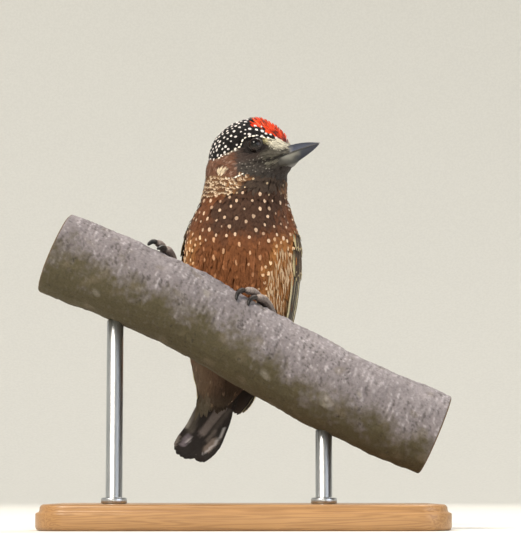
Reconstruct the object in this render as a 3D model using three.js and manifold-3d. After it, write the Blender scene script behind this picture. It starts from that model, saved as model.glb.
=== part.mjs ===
// A male spotted piculet (Picumnus pygmaeus), life size, clinging to a cut length of branch
// that two rods hold up from a flat base.
//
// Millimetres, +Z up. The origin is the centre of the base's underside. The bird's belly faces -Y,
// its own left side is +X, and its head is turned towards +X.

import * as THREE from "three";
import { mergeVertices } from "three/addons/utils/BufferGeometryUtils.js";
import Module from "manifold-3d";

const wasm = await Module();
wasm.setup();

// ---------------------------------------------------------------- driving dimensions

const GAP = 0.3; // clear space between neighbouring pieces
const DEGREE = Math.PI / 180;
const FRAME_STEPS = 60; // how finely a limb's turning section is followed along its path

const BASE = { width: 96, depth: 62, thickness: 6, corner: 8, edge: 0.8 };
const ROD = { radius: 2, sides: 16, at: [-31, 19] };

const PERCH_RADIUS = 10;
const PERCH_Y = -8;
// Points of the branch's centre line, as [x, z].
const PERCH_LINE = [[-46, 66.4], [-31, 60.2], [-15.5, 53.4], [4.3, 42.0], [22, 32.8], [46, 22]];

// The trunk and neck, from the tail coverts up: centre, half width, depth to the belly, depth to the back.
const TRUNK = [
  { at: [-8.4, 9.6, 28.6], side: 0, front: 0, back: 0 },
  { at: [-7.7, 10.4, 31.6], side: 4.3, front: 2.8, back: 2.8 },
  { at: [-6.6, 11.8, 35.0], side: 5.9, front: 4.6, back: 4.4 },
  { at: [-5.3, 13.4, 40.0], side: 8.8, front: 7.4, back: 6.6 },
  { at: [-3.6, 14.8, 46.0], side: 11.6, front: 10.6, back: 9.2 },
  { at: [-2.2, 15.4, 53.0], side: 13.5, front: 12.5, back: 11.4 },
  { at: [-1.5, 15.3, 60.0], side: 14.0, front: 13.1, back: 12.6 },
  { at: [-1.2, 14.8, 67.0], side: 14.3, front: 13.4, back: 12.9 },
  { at: [-1.0, 14.0, 72.5], side: 13.9, front: 13.2, back: 12.5 },
  { at: [-0.7, 13.3, 77.0], side: 12.4, front: 12.1, back: 11.6 },
  { at: [-0.2, 12.7, 81.0], side: 11.1, front: 10.7, back: 10.5 },
  { at: [0.2, 12.2, 86.0], side: 10.5, front: 9.6, back: 9.6 },
  { at: [0.6, 11.8, 91.0], side: 10.1, front: 8.8, back: 9.0 },
  { at: [1.0, 11.4, 98.0], side: 0, front: 0, back: 0 },
];
const TRUNK_TURN = 16 * DEGREE; // the belly faces this far round to the bird's right of -Y
const NECK_BOTTOM_Z = 81; // where the neck meets the trunk
const NECK_TOP = { z: 88, tilt: -12 * DEGREE }; // where the head meets the neck, lower at the throat

// The head's own frame starts at the middle of the bill's base.
const HEAD = { base: [10.7, 5.4, 92.3], yaw: 57 * DEGREE, pitch: 16 * DEGREE };
// Along the head from nape to bill: distance ahead of the bill's base, height of the axis over it,
// half width, height above the axis and depth below it.
const HEAD_PROFILE = [
  { ahead: -21.9, over: 3.2, side: 0, up: 0, down: 0 },
  { ahead: -20.4, over: 3.4, side: 4.8, up: 4.6, down: 5.0 },
  { ahead: -16.9, over: 4.0, side: 7.8, up: 7.5, down: 8.0 },
  { ahead: -12.5, over: 4.4, side: 8.9, up: 8.6, down: 9.0 },
  { ahead: -8.4, over: 4.2, side: 8.7, up: 8.8, down: 8.8 },
  { ahead: -5.2, over: 3.5, side: 7.6, up: 8.5, down: 8.2 },
  { ahead: -2.4, over: 2.2, side: 5.6, up: 6.9, down: 6.4 },
  { ahead: -0.2, over: 1.0, side: 3.8, up: 4.6, down: 4.2 },
  { ahead: 1.0, over: 0.4, side: 2.6, up: 2.6, down: 2.4 },
  { ahead: 1.6, over: 0.1, side: 0, up: 0, down: 0 },
];
const EYE = { ahead: -5.0, over: 3.6, side: 5.8, radius: 2.1 };
const BILL = { root: -3.4, tip: 9.7, halfWidth: 2.3, upper: 2.2, lower: 1.9, droop: 0.5, lowerShort: 0.5 };

// A folded wing lies on the trunk: how far round from the belly its lower edge and upper edge are,
// from the wrist down to the tip, how far it stands off, and how thick it is.
const WING = [
  { z: 82.5, low: 96, high: 126, lift: 0.4, thick: 0.6 },
  { z: 78.5, low: 82, high: 146, lift: 0.4, thick: 1.4 },
  { z: 70.0, low: 77, high: 160, lift: 0.4, thick: 1.7 },
  { z: 60.0, low: 79, high: 166, lift: 0.4, thick: 1.7 },
  { z: 50.0, low: 90, high: 168, lift: 0.6, thick: 1.6 },
  { z: 41.0, low: 112, high: 170, lift: 2.4, thick: 1.3 },
  { z: 34.0, low: 131, high: 167, lift: 4.6, thick: 1.0 },
  { z: 29.5, low: 138, high: 160, lift: 5.4, thick: 0.6 },
];

// The tail from its root to its tip: centre, half width, half thickness and how far its edges bend down.
const TAIL = [
  { at: [-7.4, 11.6, 35.0], half: 3.0, thick: 1.0, bend: 0.3 },
  { at: [-8.2, 9.6, 29.8], half: 4.6, thick: 1.0, bend: 0.6 },
  { at: [-10.4, 7.6, 24.0], half: 5.8, thick: 0.8, bend: 0.9 },
  { at: [-13.0, 5.8, 16.9], half: 6.8, thick: 0.6, bend: 0.9 },
];

// Each toe's pad and claw: paths over the branch as [x, degrees round from the top towards -Y, height].
const TOE = { radius: 0.82, clawRadius: 0.5, sides: 7 };
const FEET = {
  left: {
    palm: { x: 6.6, round: -46, lift: 1.5 },
    heel: [7.4, 5.6, 49.0],
    thigh: { at: [4.4, 7.0, 51.5], half: [3.8, 4.0, 5.6] },
    toes: {
      toe_2: {
        pad: [[6.2, -38, 1.3], [4.2, -14, 1.5], [2.2, 6, 1.9], [0.2, 20, 1.5]],
        claw: [[-0.9, 28, 1.4], [-1.7, 38, 0.9], [-1.8, 46, 0.55]],
      },
      toe_3: {
        pad: [[7.0, -40, 1.3], [6.2, -18, 1.3], [4.6, 2, 1.6], [3.0, 18, 1.3]],
        claw: [[2.0, 26, 1.3], [1.2, 35, 0.9], [1.0, 43, 0.55]],
      },
      toe_1: {
        pad: [[8.0, -56, 1.3], [9.6, -66, 1.2], [10.8, -74, 1.2]],
        claw: [[11.8, -79, 1.2], [12.5, -85, 0.7], [12.7, -90, 0.55]],
      },
      toe_4: {
        pad: [[7.0, -58, 1.3], [7.4, -74, 1.3], [7.8, -90, 1.4], [8.2, -104, 1.3]],
        claw: [[8.4, -112, 1.2], [8.5, -120, 0.8], [8.5, -127, 0.55]],
      },
    },
  },
  right: {
    palm: { x: -18.2, round: -52, lift: 1.5 },
    heel: [-14.8, 6.6, 60.0],
    thigh: { at: [-11.8, 9.4, 60.5], half: [3.6, 4.0, 5.6] },
    toes: {
      toe_3: {
        pad: [[-18.6, -42, 1.3], [-19.2, -24, 1.3], [-20.0, -8, 1.7], [-21.1, 4, 1.7]],
        claw: [[-21.9, 8, 1.6], [-22.7, 13, 1.0], [-23.1, 18, 0.55]],
      },
      toe_2: {
        pad: [[-17.4, -44, 1.3], [-17.6, -27, 1.3], [-18.2, -12, 1.4], [-19.0, -2, 1.2]],
        claw: [[-19.7, 4, 1.2], [-20.4, 11, 0.8], [-20.8, 17, 0.55]],
      },
      toe_1: {
        pad: [[-17.0, -60, 1.3], [-15.6, -70, 1.2], [-14.6, -78, 1.2]],
        claw: [[-13.8, -84, 1.2], [-13.3, -90, 0.7], [-13.2, -95, 0.55]],
      },
      toe_4: {
        pad: [[-18.4, -64, 1.3], [-18.6, -78, 1.3], [-18.9, -92, 1.3], [-19.2, -105, 1.3]],
        claw: [[-19.3, -113, 1.2], [-19.4, -121, 0.8], [-19.4, -128, 0.55]],
      },
    },
  },
};

// ---------------------------------------------------------------- materials

const finish = (color, roughness, metalness = 0) =>
  new THREE.MeshStandardMaterial({ color, roughness, metalness });

const MATERIALS = {
  cap: finish("#1c1a1b", 0.8),
  body: finish("#7a4a2e", 0.85),
  wing: finish("#4a382c", 0.75),
  tail: finish("#2c2624", 0.75),
  bill: finish("#45464c", 0.4),
  eye: finish("#1a100c", 0.08),
  leg: finish("#77706e", 0.6),
  claw: finish("#3a3532", 0.4),
  bark: finish("#a59d98", 0.9),
  wood: finish("#b08d63", 0.55),
  steel: finish("#b9bcc0", 0.3, 1),
};

// ---------------------------------------------------------------- solids and meshes

// The same surface with its seams sewn up and nothing but positions.
function sewn(geometry) {
  const bare = geometry.index ? geometry.toNonIndexed() : geometry.clone();
  for (const name of Object.keys(bare.attributes)) {
    if (name !== "position") bare.deleteAttribute(name);
  }
  return mergeVertices(bare, 1e-4);
}

function solid(geometry) {
  const merged = sewn(geometry);
  const corners = new Uint32Array(merged.index.array);
  const places = merged.attributes.position.array;
  if (signedVolume(places, corners) < 0) {
    for (let i = 0; i < corners.length; i += 3) {
      [corners[i + 1], corners[i + 2]] = [corners[i + 2], corners[i + 1]];
    }
  }
  return new wasm.Manifold(new wasm.Mesh({ numProp: 3, vertProperties: places, triVerts: corners }));
}

function signedVolume(places, corners) {
  const [a, b, c] = [new THREE.Vector3(), new THREE.Vector3(), new THREE.Vector3()];
  let sum = 0;
  for (let i = 0; i < corners.length; i += 3) {
    a.fromArray(places, 3 * corners[i]);
    b.fromArray(places, 3 * corners[i + 1]);
    c.fromArray(places, 3 * corners[i + 2]);
    sum += a.dot(b.cross(c));
  }
  return sum / 6;
}

function largestBody(made) {
  return made.decompose().reduce((best, one) => (one.volume() > best.volume() ? one : best));
}

function mesh(name, made, material) {
  const { numProp, vertProperties, triVerts } = largestBody(made).getMesh();
  const places = new Float32Array((vertProperties.length / numProp) * 3);
  for (let i = 0; i < places.length / 3; i++) {
    places.set(vertProperties.subarray(i * numProp, i * numProp + 3), i * 3);
  }
  const geometry = new THREE.BufferGeometry()
    .setAttribute("position", new THREE.BufferAttribute(places, 3))
    .setIndex(new THREE.BufferAttribute(triVerts, 1));
  geometry.computeVertexNormals();
  const piece = new THREE.Mesh(geometry, material);
  piece.name = name;
  return piece;
}

// A share from 0 to 1 that moves slowly near both ends, where a form closes; evenness 1 leaves it even.
function eased(share, evenness) {
  return THREE.MathUtils.lerp((1 - Math.cos(share * Math.PI)) / 2, share, evenness);
}

const isPole = (share) => share < 1e-6 || share > 1 - 1e-6;

// A sphere's grid with each point moved by place(share from pole to pole, angle round, point).
function shapedSphere(sides, rings, place) {
  const geometry = sewn(new THREE.SphereGeometry(1, sides, rings));
  const places = geometry.attributes.position;
  const target = new THREE.Vector3();
  for (let i = 0; i < places.count; i++) {
    const [x, y, z] = [places.getX(i), places.getY(i), places.getZ(i)];
    const share = Math.acos(THREE.MathUtils.clamp(y, -1, 1)) / Math.PI;
    place(share, Math.atan2(z, x), target);
    places.setXYZ(i, target.x, target.y, target.z);
  }
  return geometry;
}

// Smooth values between stations that are spaced by share, for one key at a time.
function along(stations, shares, key, share) {
  let i = 0;
  while (i < stations.length - 2 && share > shares[i + 1]) i++;
  const value = (k) => stations[THREE.MathUtils.clamp(k, 0, stations.length - 1)][key];
  const t = THREE.MathUtils.clamp((share - shares[i]) / (shares[i + 1] - shares[i]), 0, 1);
  const [a, b] = [value(i), value(i + 1)];
  const [before, after] = [value(i - 1), value(i + 2)];
  const [slopeA, slopeB] = [(b - before) / 2, (after - a) / 2];
  const [t2, t3] = [t * t, t * t * t];
  return (2 * t3 - 3 * t2 + 1) * a + (t3 - 2 * t2 + t) * slopeA
    + (3 * t2 - 2 * t3) * b + (t3 - t2) * slopeB;
}

// A radius whose square is smooth between the stations, so that it closes roundly at an end of 0.
function roundAlong(stations, shares, key, share) {
  const squares = stations.map((one) => ({ [key]: one[key] ** 2 }));
  return Math.sqrt(Math.max(0, along(squares, shares, key, share)));
}

function evenShares(points) {
  const lengths = [0];
  points.slice(1).forEach((p, i) => lengths.push(lengths[i] + p.distanceTo(points[i])));
  return lengths.map((d) => d / lengths.at(-1));
}

// A tube with round ends along a path, with its own radius at each point of the path.
function limb(points, radii, sides, rings, swell = 0) {
  const curve = new THREE.CatmullRomCurve3(points, false, "centripetal");
  const frames = curve.computeFrenetFrames(FRAME_STEPS, false);
  const shares = evenShares(points);
  const stations = radii.map((radius) => ({ radius }));
  const length = curve.getLength();
  return shapedSphere(sides, rings, (share, angle, target) => {
    const at = THREE.MathUtils.clamp(eased(share, 0.5), 0, 1);
    const i = Math.round(at * FRAME_STEPS);
    const radius = along(stations, shares, "radius", at) + swell;
    const toEnd = Math.min(at, 1 - at) * length;
    const cap = toEnd < radius ? Math.sqrt(Math.max(0, 1 - (1 - toEnd / radius) ** 2)) : 1;
    curve.getPointAt(at, target);
    target.addScaledVector(frames.tangents[i], swell * Math.sign(share - 0.5) * (1 - cap));
    target.addScaledVector(frames.normals[i], Math.cos(angle) * radius * cap);
    target.addScaledVector(frames.binormals[i], Math.sin(angle) * radius * cap);
  });
}

function ellipsoid(at, half, swell = 0) {
  return new THREE.SphereGeometry(1, 14, 10)
    .scale(half[0] + swell, half[1] + swell, half[2] + swell)
    .translate(...at);
}

const vector = (list) => new THREE.Vector3(...list);

// ---------------------------------------------------------------- trunk, neck and head

const trunkPoints = TRUNK.map((one) => vector(one.at));
const trunkShares = evenShares(trunkPoints);

function trunkCentre(share, target) {
  const stations = TRUNK.map((one) => ({ x: one.at[0], y: one.at[1], z: one.at[2] }));
  return target.set(...["x", "y", "z"].map((key) => along(stations, trunkShares, key, share)));
}

// The share of the spine at a height, found by halving.
function trunkShareAt(z) {
  let [low, high] = [0, 1];
  const probe = new THREE.Vector3();
  for (let i = 0; i < 30; i++) {
    const middle = (low + high) / 2;
    if (trunkCentre(middle, probe).z < z) low = middle;
    else high = middle;
  }
  return (low + high) / 2;
}

// A point on the trunk's skin, round degrees from the belly towards the bird's left, stood off by lift.
// The radii stay above least, so that the wings can be carried on past the trunk's end.
function trunkPoint(share, round, lift, least, target) {
  const step = 0.01;
  const ahead = trunkCentre(Math.min(1, share + step), new THREE.Vector3());
  const tangent = ahead.sub(trunkCentre(Math.max(0, share - step), new THREE.Vector3())).normalize();
  const front = new THREE.Vector3(-Math.sin(TRUNK_TURN), -Math.cos(TRUNK_TURN), 0);
  front.addScaledVector(tangent, -front.dot(tangent)).normalize();
  const left = new THREE.Vector3().crossVectors(tangent, front);
  const radius = (key) => Math.max(least, roundAlong(TRUNK, trunkShares, key, share)) + lift;
  const [cos, sin] = [Math.cos(round), Math.sin(round)];
  trunkCentre(share, target);
  target.addScaledVector(front, cos * radius(cos > 0 ? "front" : "back"));
  return target.addScaledVector(left, sin * radius("side"));
}

function trunkLoft(swell) {
  return shapedSphere(26, 32, (share, angle, target) => {
    trunkPoint(eased(share, 0.6), angle, isPole(share) ? 0 : swell, 0, target);
    if (isPole(share)) target.z += swell * Math.sign(share - 0.5);
  });
}

const headTurn = new THREE.Euler(0, -HEAD.pitch, HEAD.yaw - Math.PI / 2, "ZYX");
const headFrame = new THREE.Matrix4().makeRotationFromEuler(headTurn).setPosition(...HEAD.base);

// A point given in the head's frame: ahead towards the bill's tip, to the bird's left, and up.
function headPoint(ahead, left, up, target = new THREE.Vector3()) {
  return target.set(ahead, left, up).applyMatrix4(headFrame);
}

function headLoft(swell) {
  const shares = evenShares(HEAD_PROFILE.map((one) => new THREE.Vector3(one.ahead, 0, one.over)));
  return shapedSphere(22, 20, (share, angle, target) => {
    const at = eased(share, 0.5);
    const value = (key) => along(HEAD_PROFILE, shares, key, at);
    const radius = (key) => (isPole(share) ? 0 : roundAlong(HEAD_PROFILE, shares, key, at) + swell);
    const [cos, sin] = [Math.cos(angle), Math.sin(angle)];
    const ahead = value("ahead") + (isPole(share) ? swell * Math.sign(share - 0.5) : 0);
    headPoint(ahead, cos * radius("side"), value("over") + sin * radius(sin > 0 ? "up" : "down"), target);
  });
}

function eyeBall(side, radius) {
  const at = headPoint(EYE.ahead, side * EYE.side, EYE.over);
  return solid(new THREE.SphereGeometry(radius, 16, 10).translate(at.x, at.y, at.z));
}

// A large block that holds everything above a level, tilted about +Y's level line at the trunk's axis.
function above(z, tilt = 0) {
  const side = 200;
  return solid(
    new THREE.BoxGeometry(side, side, side)
      .translate(0, 0, side / 2)
      .rotateX(tilt)
      .translate(0, 12, z),
  );
}

// One half of the bill: up is 1 for the upper mandible and -1 for the lower one.
function mandible(up) {
  const depth = up > 0 ? BILL.upper : BILL.lower;
  const reach = up > 0 ? BILL.tip : BILL.tip - BILL.lowerShort;
  return shapedSphere(12, 10, (share, angle, target) => {
    const ahead = THREE.MathUtils.lerp(BILL.root, reach, share);
    const taper = Math.max(0, 1 - share ** 1.6);
    const cap = Math.min(1, Math.sqrt(Math.sin(share * Math.PI) * 4));
    const [cos, sin] = [Math.cos(angle), Math.sin(angle)];
    const edge = (up * GAP) / 2 - BILL.droop * Math.max(0, ahead / BILL.tip) ** 2;
    const width = cos * BILL.halfWidth * taper * cap;
    const height = up * Math.max(0, sin) ** 0.8 * depth * taper * cap;
    headPoint(ahead, width, edge + height, target);
  });
}

function bodyPieces() {
  const head = solid(headLoft(0));
  const whole = solid(trunkLoft(0)).add(head);
  const trunk = whole.subtract(above(NECK_BOTTOM_Z - GAP / 2));
  const neck = whole
    .intersect(above(NECK_BOTTOM_Z + GAP / 2))
    .subtract(above(NECK_TOP.z - GAP / 2, NECK_TOP.tilt));
  let crown = whole.intersect(above(NECK_TOP.z + GAP / 2, NECK_TOP.tilt));
  for (const side of [1, -1]) crown = crown.subtract(eyeBall(side, EYE.radius + GAP));
  return { trunk, neck, crown };
}

// ---------------------------------------------------------------- wings and tail

function wing(side) {
  const points = WING.map((one) => new THREE.Vector3(one.z, 0, 0));
  const shares = evenShares(points);
  return shapedSphere(12, 20, (share, angle, target) => {
    const value = (key) => along(WING, shares, key, eased(share, 0.4));
    const width = Math.sqrt(Math.sin(share * Math.PI));
    const [low, high] = [value("low"), value("high")];
    const middle = (low + high) / 2;
    const round = middle + ((high - low) / 2) * width * Math.cos(angle);
    const out = Math.max(0, Math.sin(angle)) ** 0.6 * value("thick") * width;
    const inner = Math.min(0, Math.sin(angle)) * 0.05;
    trunkPoint(trunkShareAt(value("z")), side * round * DEGREE, value("lift") + out + inner, 3.4, target);
  });
}

function tailFan() {
  const points = TAIL.map((one) => vector(one.at));
  const shares = evenShares(points);
  const curve = new THREE.CatmullRomCurve3(points);
  const across = new THREE.Vector3(0.93, 0, -0.36).normalize();
  const down = new THREE.Vector3().crossVectors(across, points.at(-1).clone().sub(points[0])).normalize();
  return shapedSphere(16, 12, (share, angle, target) => {
    const at = THREE.MathUtils.clamp(eased(share, 0.4), 0, 1);
    const value = (key) => along(TAIL, shares, key, at);
    const width = Math.sin(share * Math.PI) ** 0.35;
    const [cos, sin] = [Math.cos(angle), Math.sin(angle)];
    curve.getPointAt(at, target);
    target.addScaledVector(across, cos * value("half") * width);
    target.addScaledVector(down, sin * value("thick") * width - value("bend") * cos * cos);
  });
}

// ---------------------------------------------------------------- branch, feet and stand

const perchCurve = new THREE.CatmullRomCurve3(
  PERCH_LINE.map(([x, z]) => new THREE.Vector3(x, PERCH_Y, z)),
  false,
  "centripetal",
);

function perchRadius(share, angle) {
  const swell = 0.18 * Math.sin(9 * share + 1) + 0.12 * Math.sin(23 * share + 2 * angle);
  return PERCH_RADIUS + swell + 0.1 * Math.sin(3 * angle + 14 * share);
}

// The branch's axis, its upward normal and the share of its length at an x of the axis.
function perchAt(x) {
  let [low, high] = [0, 1];
  for (let i = 0; i < 24; i++) {
    const middle = (low + high) / 2;
    if (perchCurve.getPointAt(middle).x < x) low = middle;
    else high = middle;
  }
  const tangent = perchCurve.getTangentAt(low);
  return { share: low, axis: perchCurve.getPointAt(low), up: new THREE.Vector3(-tangent.z, 0, tangent.x) };
}

// A point over the bark: its own x, degrees round from the top towards -Y, and height.
function overBark([x, round, lift]) {
  const angle = round * DEGREE;
  let found = perchAt(x);
  let reach = PERCH_RADIUS + lift;
  for (let i = 0; i < 6; i++) {
    found = perchAt(x - found.up.x * reach * Math.cos(angle));
    reach = perchRadius(found.share, angle) + lift;
  }
  return found.axis
    .addScaledVector(found.up, reach * Math.cos(angle))
    .add(new THREE.Vector3(0, -reach * Math.sin(angle), 0));
}

function perch(swell = 0) {
  const [sides, rings] = [24, 14];
  const geometry = sewn(new THREE.CylinderGeometry(1, 1, 1, sides, rings));
  const places = geometry.attributes.position;
  for (let i = 0; i < places.count; i++) {
    const share = places.getY(i) + 0.5;
    const angle = Math.atan2(places.getX(i), places.getZ(i));
    const inward = Math.hypot(places.getX(i), places.getZ(i));
    const tangent = perchCurve.getTangentAt(share);
    const up = new THREE.Vector3(-tangent.z, 0, tangent.x);
    const reach = inward * (perchRadius(share, angle) + swell);
    const at = perchCurve.getPointAt(share).addScaledVector(up, reach * Math.cos(angle));
    places.setXYZ(i, at.x, at.y - reach * Math.sin(angle), at.z);
  }
  return solid(geometry);
}

function foot(name, plan, cutters) {
  const palm = overBark([plan.palm.x, plan.palm.round, plan.palm.lift]);
  const heel = vector(plan.heel);
  const hip = vector(plan.thigh.at);
  const shin = [palm, palm.clone().lerp(heel, 0.5), heel, heel.clone().lerp(hip, 0.4)];
  const shinRadii = [1.25, 0.85, 1.0, 1.1];
  const thigh = solid(ellipsoid(plan.thigh.at, plan.thigh.half)).subtract(cutters.trunk);
  const thighCutter = solid(ellipsoid(plan.thigh.at, plan.thigh.half, GAP));
  const shank = solid(limb(shin, shinRadii, 10, 14)).subtract(cutters.trunk).subtract(thighCutter);
  const pieces = [
    mesh(`thigh_${name}`, thigh, MATERIALS.body),
    mesh(`tarsus_${name}`, shank, MATERIALS.leg),
  ];
  let taken = solid(limb(shin, shinRadii, 10, 14, GAP));
  for (const [toe, { pad, claw }] of Object.entries(plan.toes)) {
    const padPoints = pad.map(overBark);
    const clawPoints = [padPoints.at(-1), ...claw.map(overBark)];
    const padRadii = pad.map((_, i) => TOE.radius * (1 - 0.12 * i));
    const clawRadii = [1.1, 0.95, 0.7, 0.35].map((share) => share * TOE.clawRadius);
    const padTube = solid(limb(padPoints, padRadii, TOE.sides, 9)).subtract(taken);
    taken = taken.add(solid(limb(padPoints, padRadii, TOE.sides, 9, GAP)));
    const clawTube = solid(limb(clawPoints, clawRadii, TOE.sides, 7)).subtract(taken);
    taken = taken.add(solid(limb(clawPoints, clawRadii, TOE.sides, 7, GAP)));
    pieces.push(mesh(`${toe}_${name}`, padTube, MATERIALS.leg));
    pieces.push(mesh(`claw_${toe.at(-1)}_${name}`, clawTube, MATERIALS.claw));
  }
  return pieces;
}

function standPieces(branchCutter) {
  const { width, depth, corner, thickness, edge } = BASE;
  const outline = new THREE.Shape();
  const [x, y] = [width / 2 - edge, depth / 2 - edge];
  outline.moveTo(-x + corner, -y);
  outline.lineTo(x - corner, -y);
  outline.absarc(x - corner, -y + corner, corner, -Math.PI / 2, 0);
  outline.absarc(x - corner, y - corner, corner, 0, Math.PI / 2);
  outline.absarc(-x + corner, y - corner, corner, Math.PI / 2, Math.PI);
  outline.absarc(-x + corner, -y + corner, corner, Math.PI, 1.5 * Math.PI);
  const slab = new THREE.ExtrudeGeometry(outline, {
    depth: thickness - 2 * edge,
    bevelThickness: edge,
    bevelSize: edge,
    bevelSegments: 1,
    curveSegments: 5,
  }).translate(0, 0, edge);
  const pieces = [mesh("stand_base", solid(slab), MATERIALS.wood)];
  ROD.at.forEach((rodX, i) => {
    const top = perchAt(rodX).axis.z;
    const height = top - thickness - GAP;
    const rod = new THREE.CylinderGeometry(ROD.radius, ROD.radius, height, ROD.sides)
      .rotateX(Math.PI / 2)
      .translate(rodX, PERCH_Y, thickness + GAP + height / 2);
    pieces.push(mesh(`stand_rod_${i + 1}`, solid(rod).subtract(branchCutter), MATERIALS.steel));
  });
  return pieces;
}

// ---------------------------------------------------------------- the whole model

function build() {
  const group = new THREE.Group();
  const cutters = { trunk: solid(trunkLoft(GAP)), head: solid(headLoft(GAP)), perch: perch(GAP) };
  const { trunk, neck, crown } = bodyPieces();
  const fan = solid(tailFan()).subtract(cutters.trunk);
  group.add(
    mesh("trunk", trunk, MATERIALS.body),
    mesh("neck", neck, MATERIALS.body),
    mesh("head", crown, MATERIALS.cap),
    mesh("bill_upper", solid(mandible(1)).subtract(cutters.head), MATERIALS.bill),
    mesh("bill_lower", solid(mandible(-1)).subtract(cutters.head), MATERIALS.bill),
    mesh("eye_left", eyeBall(1, EYE.radius), MATERIALS.eye),
    mesh("eye_right", eyeBall(-1, EYE.radius), MATERIALS.eye),
    mesh("wing_left", solid(wing(1)), MATERIALS.wing),
    mesh("wing_right", solid(wing(-1)), MATERIALS.wing),
    mesh("tail", fan, MATERIALS.tail),
    mesh("perch", perch(), MATERIALS.bark),
  );
  for (const [name, plan] of Object.entries(FEET)) group.add(...foot(name, plan, cutters));
  group.add(...standPieces(cutters.perch));
  return group;
}

export default build();
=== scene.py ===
"""The looks of a life-size male spotted piculet that clings to a cut branch on a display stand.

Shapes are worked out with numpy in millimetres, in the CAD's frame, and become metres as each
object is made. The bird's belly faces -Y, its own left is +X and its head turns towards +X.
"""

import heapq
import math

import bpy
import numpy as np
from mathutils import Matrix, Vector
from mathutils.bvhtree import BVHTree
from mathutils.kdtree import KDTree


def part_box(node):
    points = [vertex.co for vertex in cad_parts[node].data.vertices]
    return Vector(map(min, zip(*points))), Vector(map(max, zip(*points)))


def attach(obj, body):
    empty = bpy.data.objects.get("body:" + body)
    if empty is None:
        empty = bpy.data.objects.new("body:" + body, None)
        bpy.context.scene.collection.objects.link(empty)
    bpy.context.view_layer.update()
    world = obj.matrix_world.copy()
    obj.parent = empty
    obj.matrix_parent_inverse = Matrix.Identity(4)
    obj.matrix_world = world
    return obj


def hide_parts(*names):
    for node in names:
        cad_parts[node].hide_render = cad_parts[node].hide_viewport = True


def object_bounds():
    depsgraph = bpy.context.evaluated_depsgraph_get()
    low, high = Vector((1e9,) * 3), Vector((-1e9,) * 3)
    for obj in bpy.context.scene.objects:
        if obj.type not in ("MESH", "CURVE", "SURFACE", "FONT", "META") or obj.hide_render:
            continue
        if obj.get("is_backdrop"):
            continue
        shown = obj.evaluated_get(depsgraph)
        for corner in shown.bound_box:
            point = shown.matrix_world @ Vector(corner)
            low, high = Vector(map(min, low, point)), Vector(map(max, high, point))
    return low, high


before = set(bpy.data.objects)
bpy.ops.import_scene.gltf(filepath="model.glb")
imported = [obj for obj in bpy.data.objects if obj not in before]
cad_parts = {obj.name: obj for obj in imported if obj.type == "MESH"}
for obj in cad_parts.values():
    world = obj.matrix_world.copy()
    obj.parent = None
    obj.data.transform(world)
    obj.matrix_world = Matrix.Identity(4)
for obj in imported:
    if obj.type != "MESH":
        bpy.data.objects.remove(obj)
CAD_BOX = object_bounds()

MM = 0.001
SIDES = {"left": 1, "right": -1}

# ------------------------------------------------------------------ numbers and colours


def unit(vectors):
    return vectors / np.maximum(np.linalg.norm(vectors, axis=-1, keepdims=True), 1e-9)


def smooth(low, high, x):
    """0 below low, 1 above high and a soft slope between; high may be the smaller."""
    t = np.clip((x - low) / (high - low), 0, 1)
    return t * t * (3 - 2 * t)


def band(low, high, soft, x):
    """1 between low and high, and 0 away from them."""
    return smooth(low - soft, low + soft, x) * smooth(high + soft, high - soft, x)


def dot(a, b):
    return (a * b).sum(-1)


def square_to(ways, normals):
    """The directions of ways once their parts along the normals are taken out."""
    return unit(ways - dot(ways, normals)[..., None] * normals)


def circle(sides):
    """Angles evenly round a circle."""
    return np.linspace(0, 2 * math.pi, sides, endpoint=False)


def linear(colour):
    """A colour given as #rrggbb, in the linear numbers that shaders use."""
    if not isinstance(colour, str):
        return colour
    parts = np.array([int(colour[i : i + 2], 16) / 255 for i in (1, 3, 5)])
    return np.where(parts <= 0.04045, parts / 12.92, ((parts + 0.055) / 1.055) ** 2.4)


def mix(a, b, share):
    """The way from a to b by share, where either may be a colour's code."""
    a, b = linear(a), linear(b)
    return a + (b - a) * np.asarray(share)[..., None]


def layered(tone, *layers):
    """A tone with other colours laid over it one by one, each with its share."""
    for colour, share in layers:
        tone = mix(tone, colour, share)
    return tone


def ripples(points, size, seed, waves=24):
    """A soft random field, about -1 to 1, whose bumps are about size across."""
    rng = np.random.default_rng(seed)
    pitch = size * rng.uniform(0.7, 1.5, waves)
    ways = unit(rng.normal(size=(waves, 3))) * (2 * math.pi / pitch)[:, None]
    starts = rng.uniform(0, 2 * math.pi, waves)
    total = np.zeros(points.shape[:-1])
    for way, start in zip(ways, starts):
        total += np.cos(points @ way + start)
    return total / math.sqrt(waves)


# ------------------------------------------------------------------ meshes


def mesh_of(name, points, faces, scale=MM):
    """A mesh from points and a list of face arrays, each holding faces of one number of corners."""
    mesh = bpy.data.meshes.new(name)
    corners = np.concatenate([group.ravel() for group in faces])
    counts = np.concatenate([np.full(len(group), group.shape[1]) for group in faces])
    mesh.vertices.add(len(points))
    mesh.vertices.foreach_set("co", (points * scale).ravel().astype(np.float32))
    mesh.loops.add(len(corners))
    mesh.loops.foreach_set("vertex_index", corners.astype(np.int32))
    mesh.polygons.add(len(counts))
    mesh.polygons.foreach_set("loop_start", (np.cumsum(counts) - counts).astype(np.int32))
    mesh.update(calc_edges=True)
    return mesh


def arrays_of(mesh, scale=MM):
    """A mesh's points, in millimetres, and its triangles, with doubled points merged."""
    mesh.calc_loop_triangles()
    points = np.empty(len(mesh.vertices) * 3)
    mesh.vertices.foreach_get("co", points)
    corners = np.empty(len(mesh.loop_triangles) * 3, int)
    mesh.loop_triangles.foreach_get("vertices", corners)
    merged, index = np.unique((points / scale).reshape(-1, 3).round(3), axis=0, return_inverse=True)
    return merged, index.ravel()[corners].reshape(-1, 3)


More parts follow.
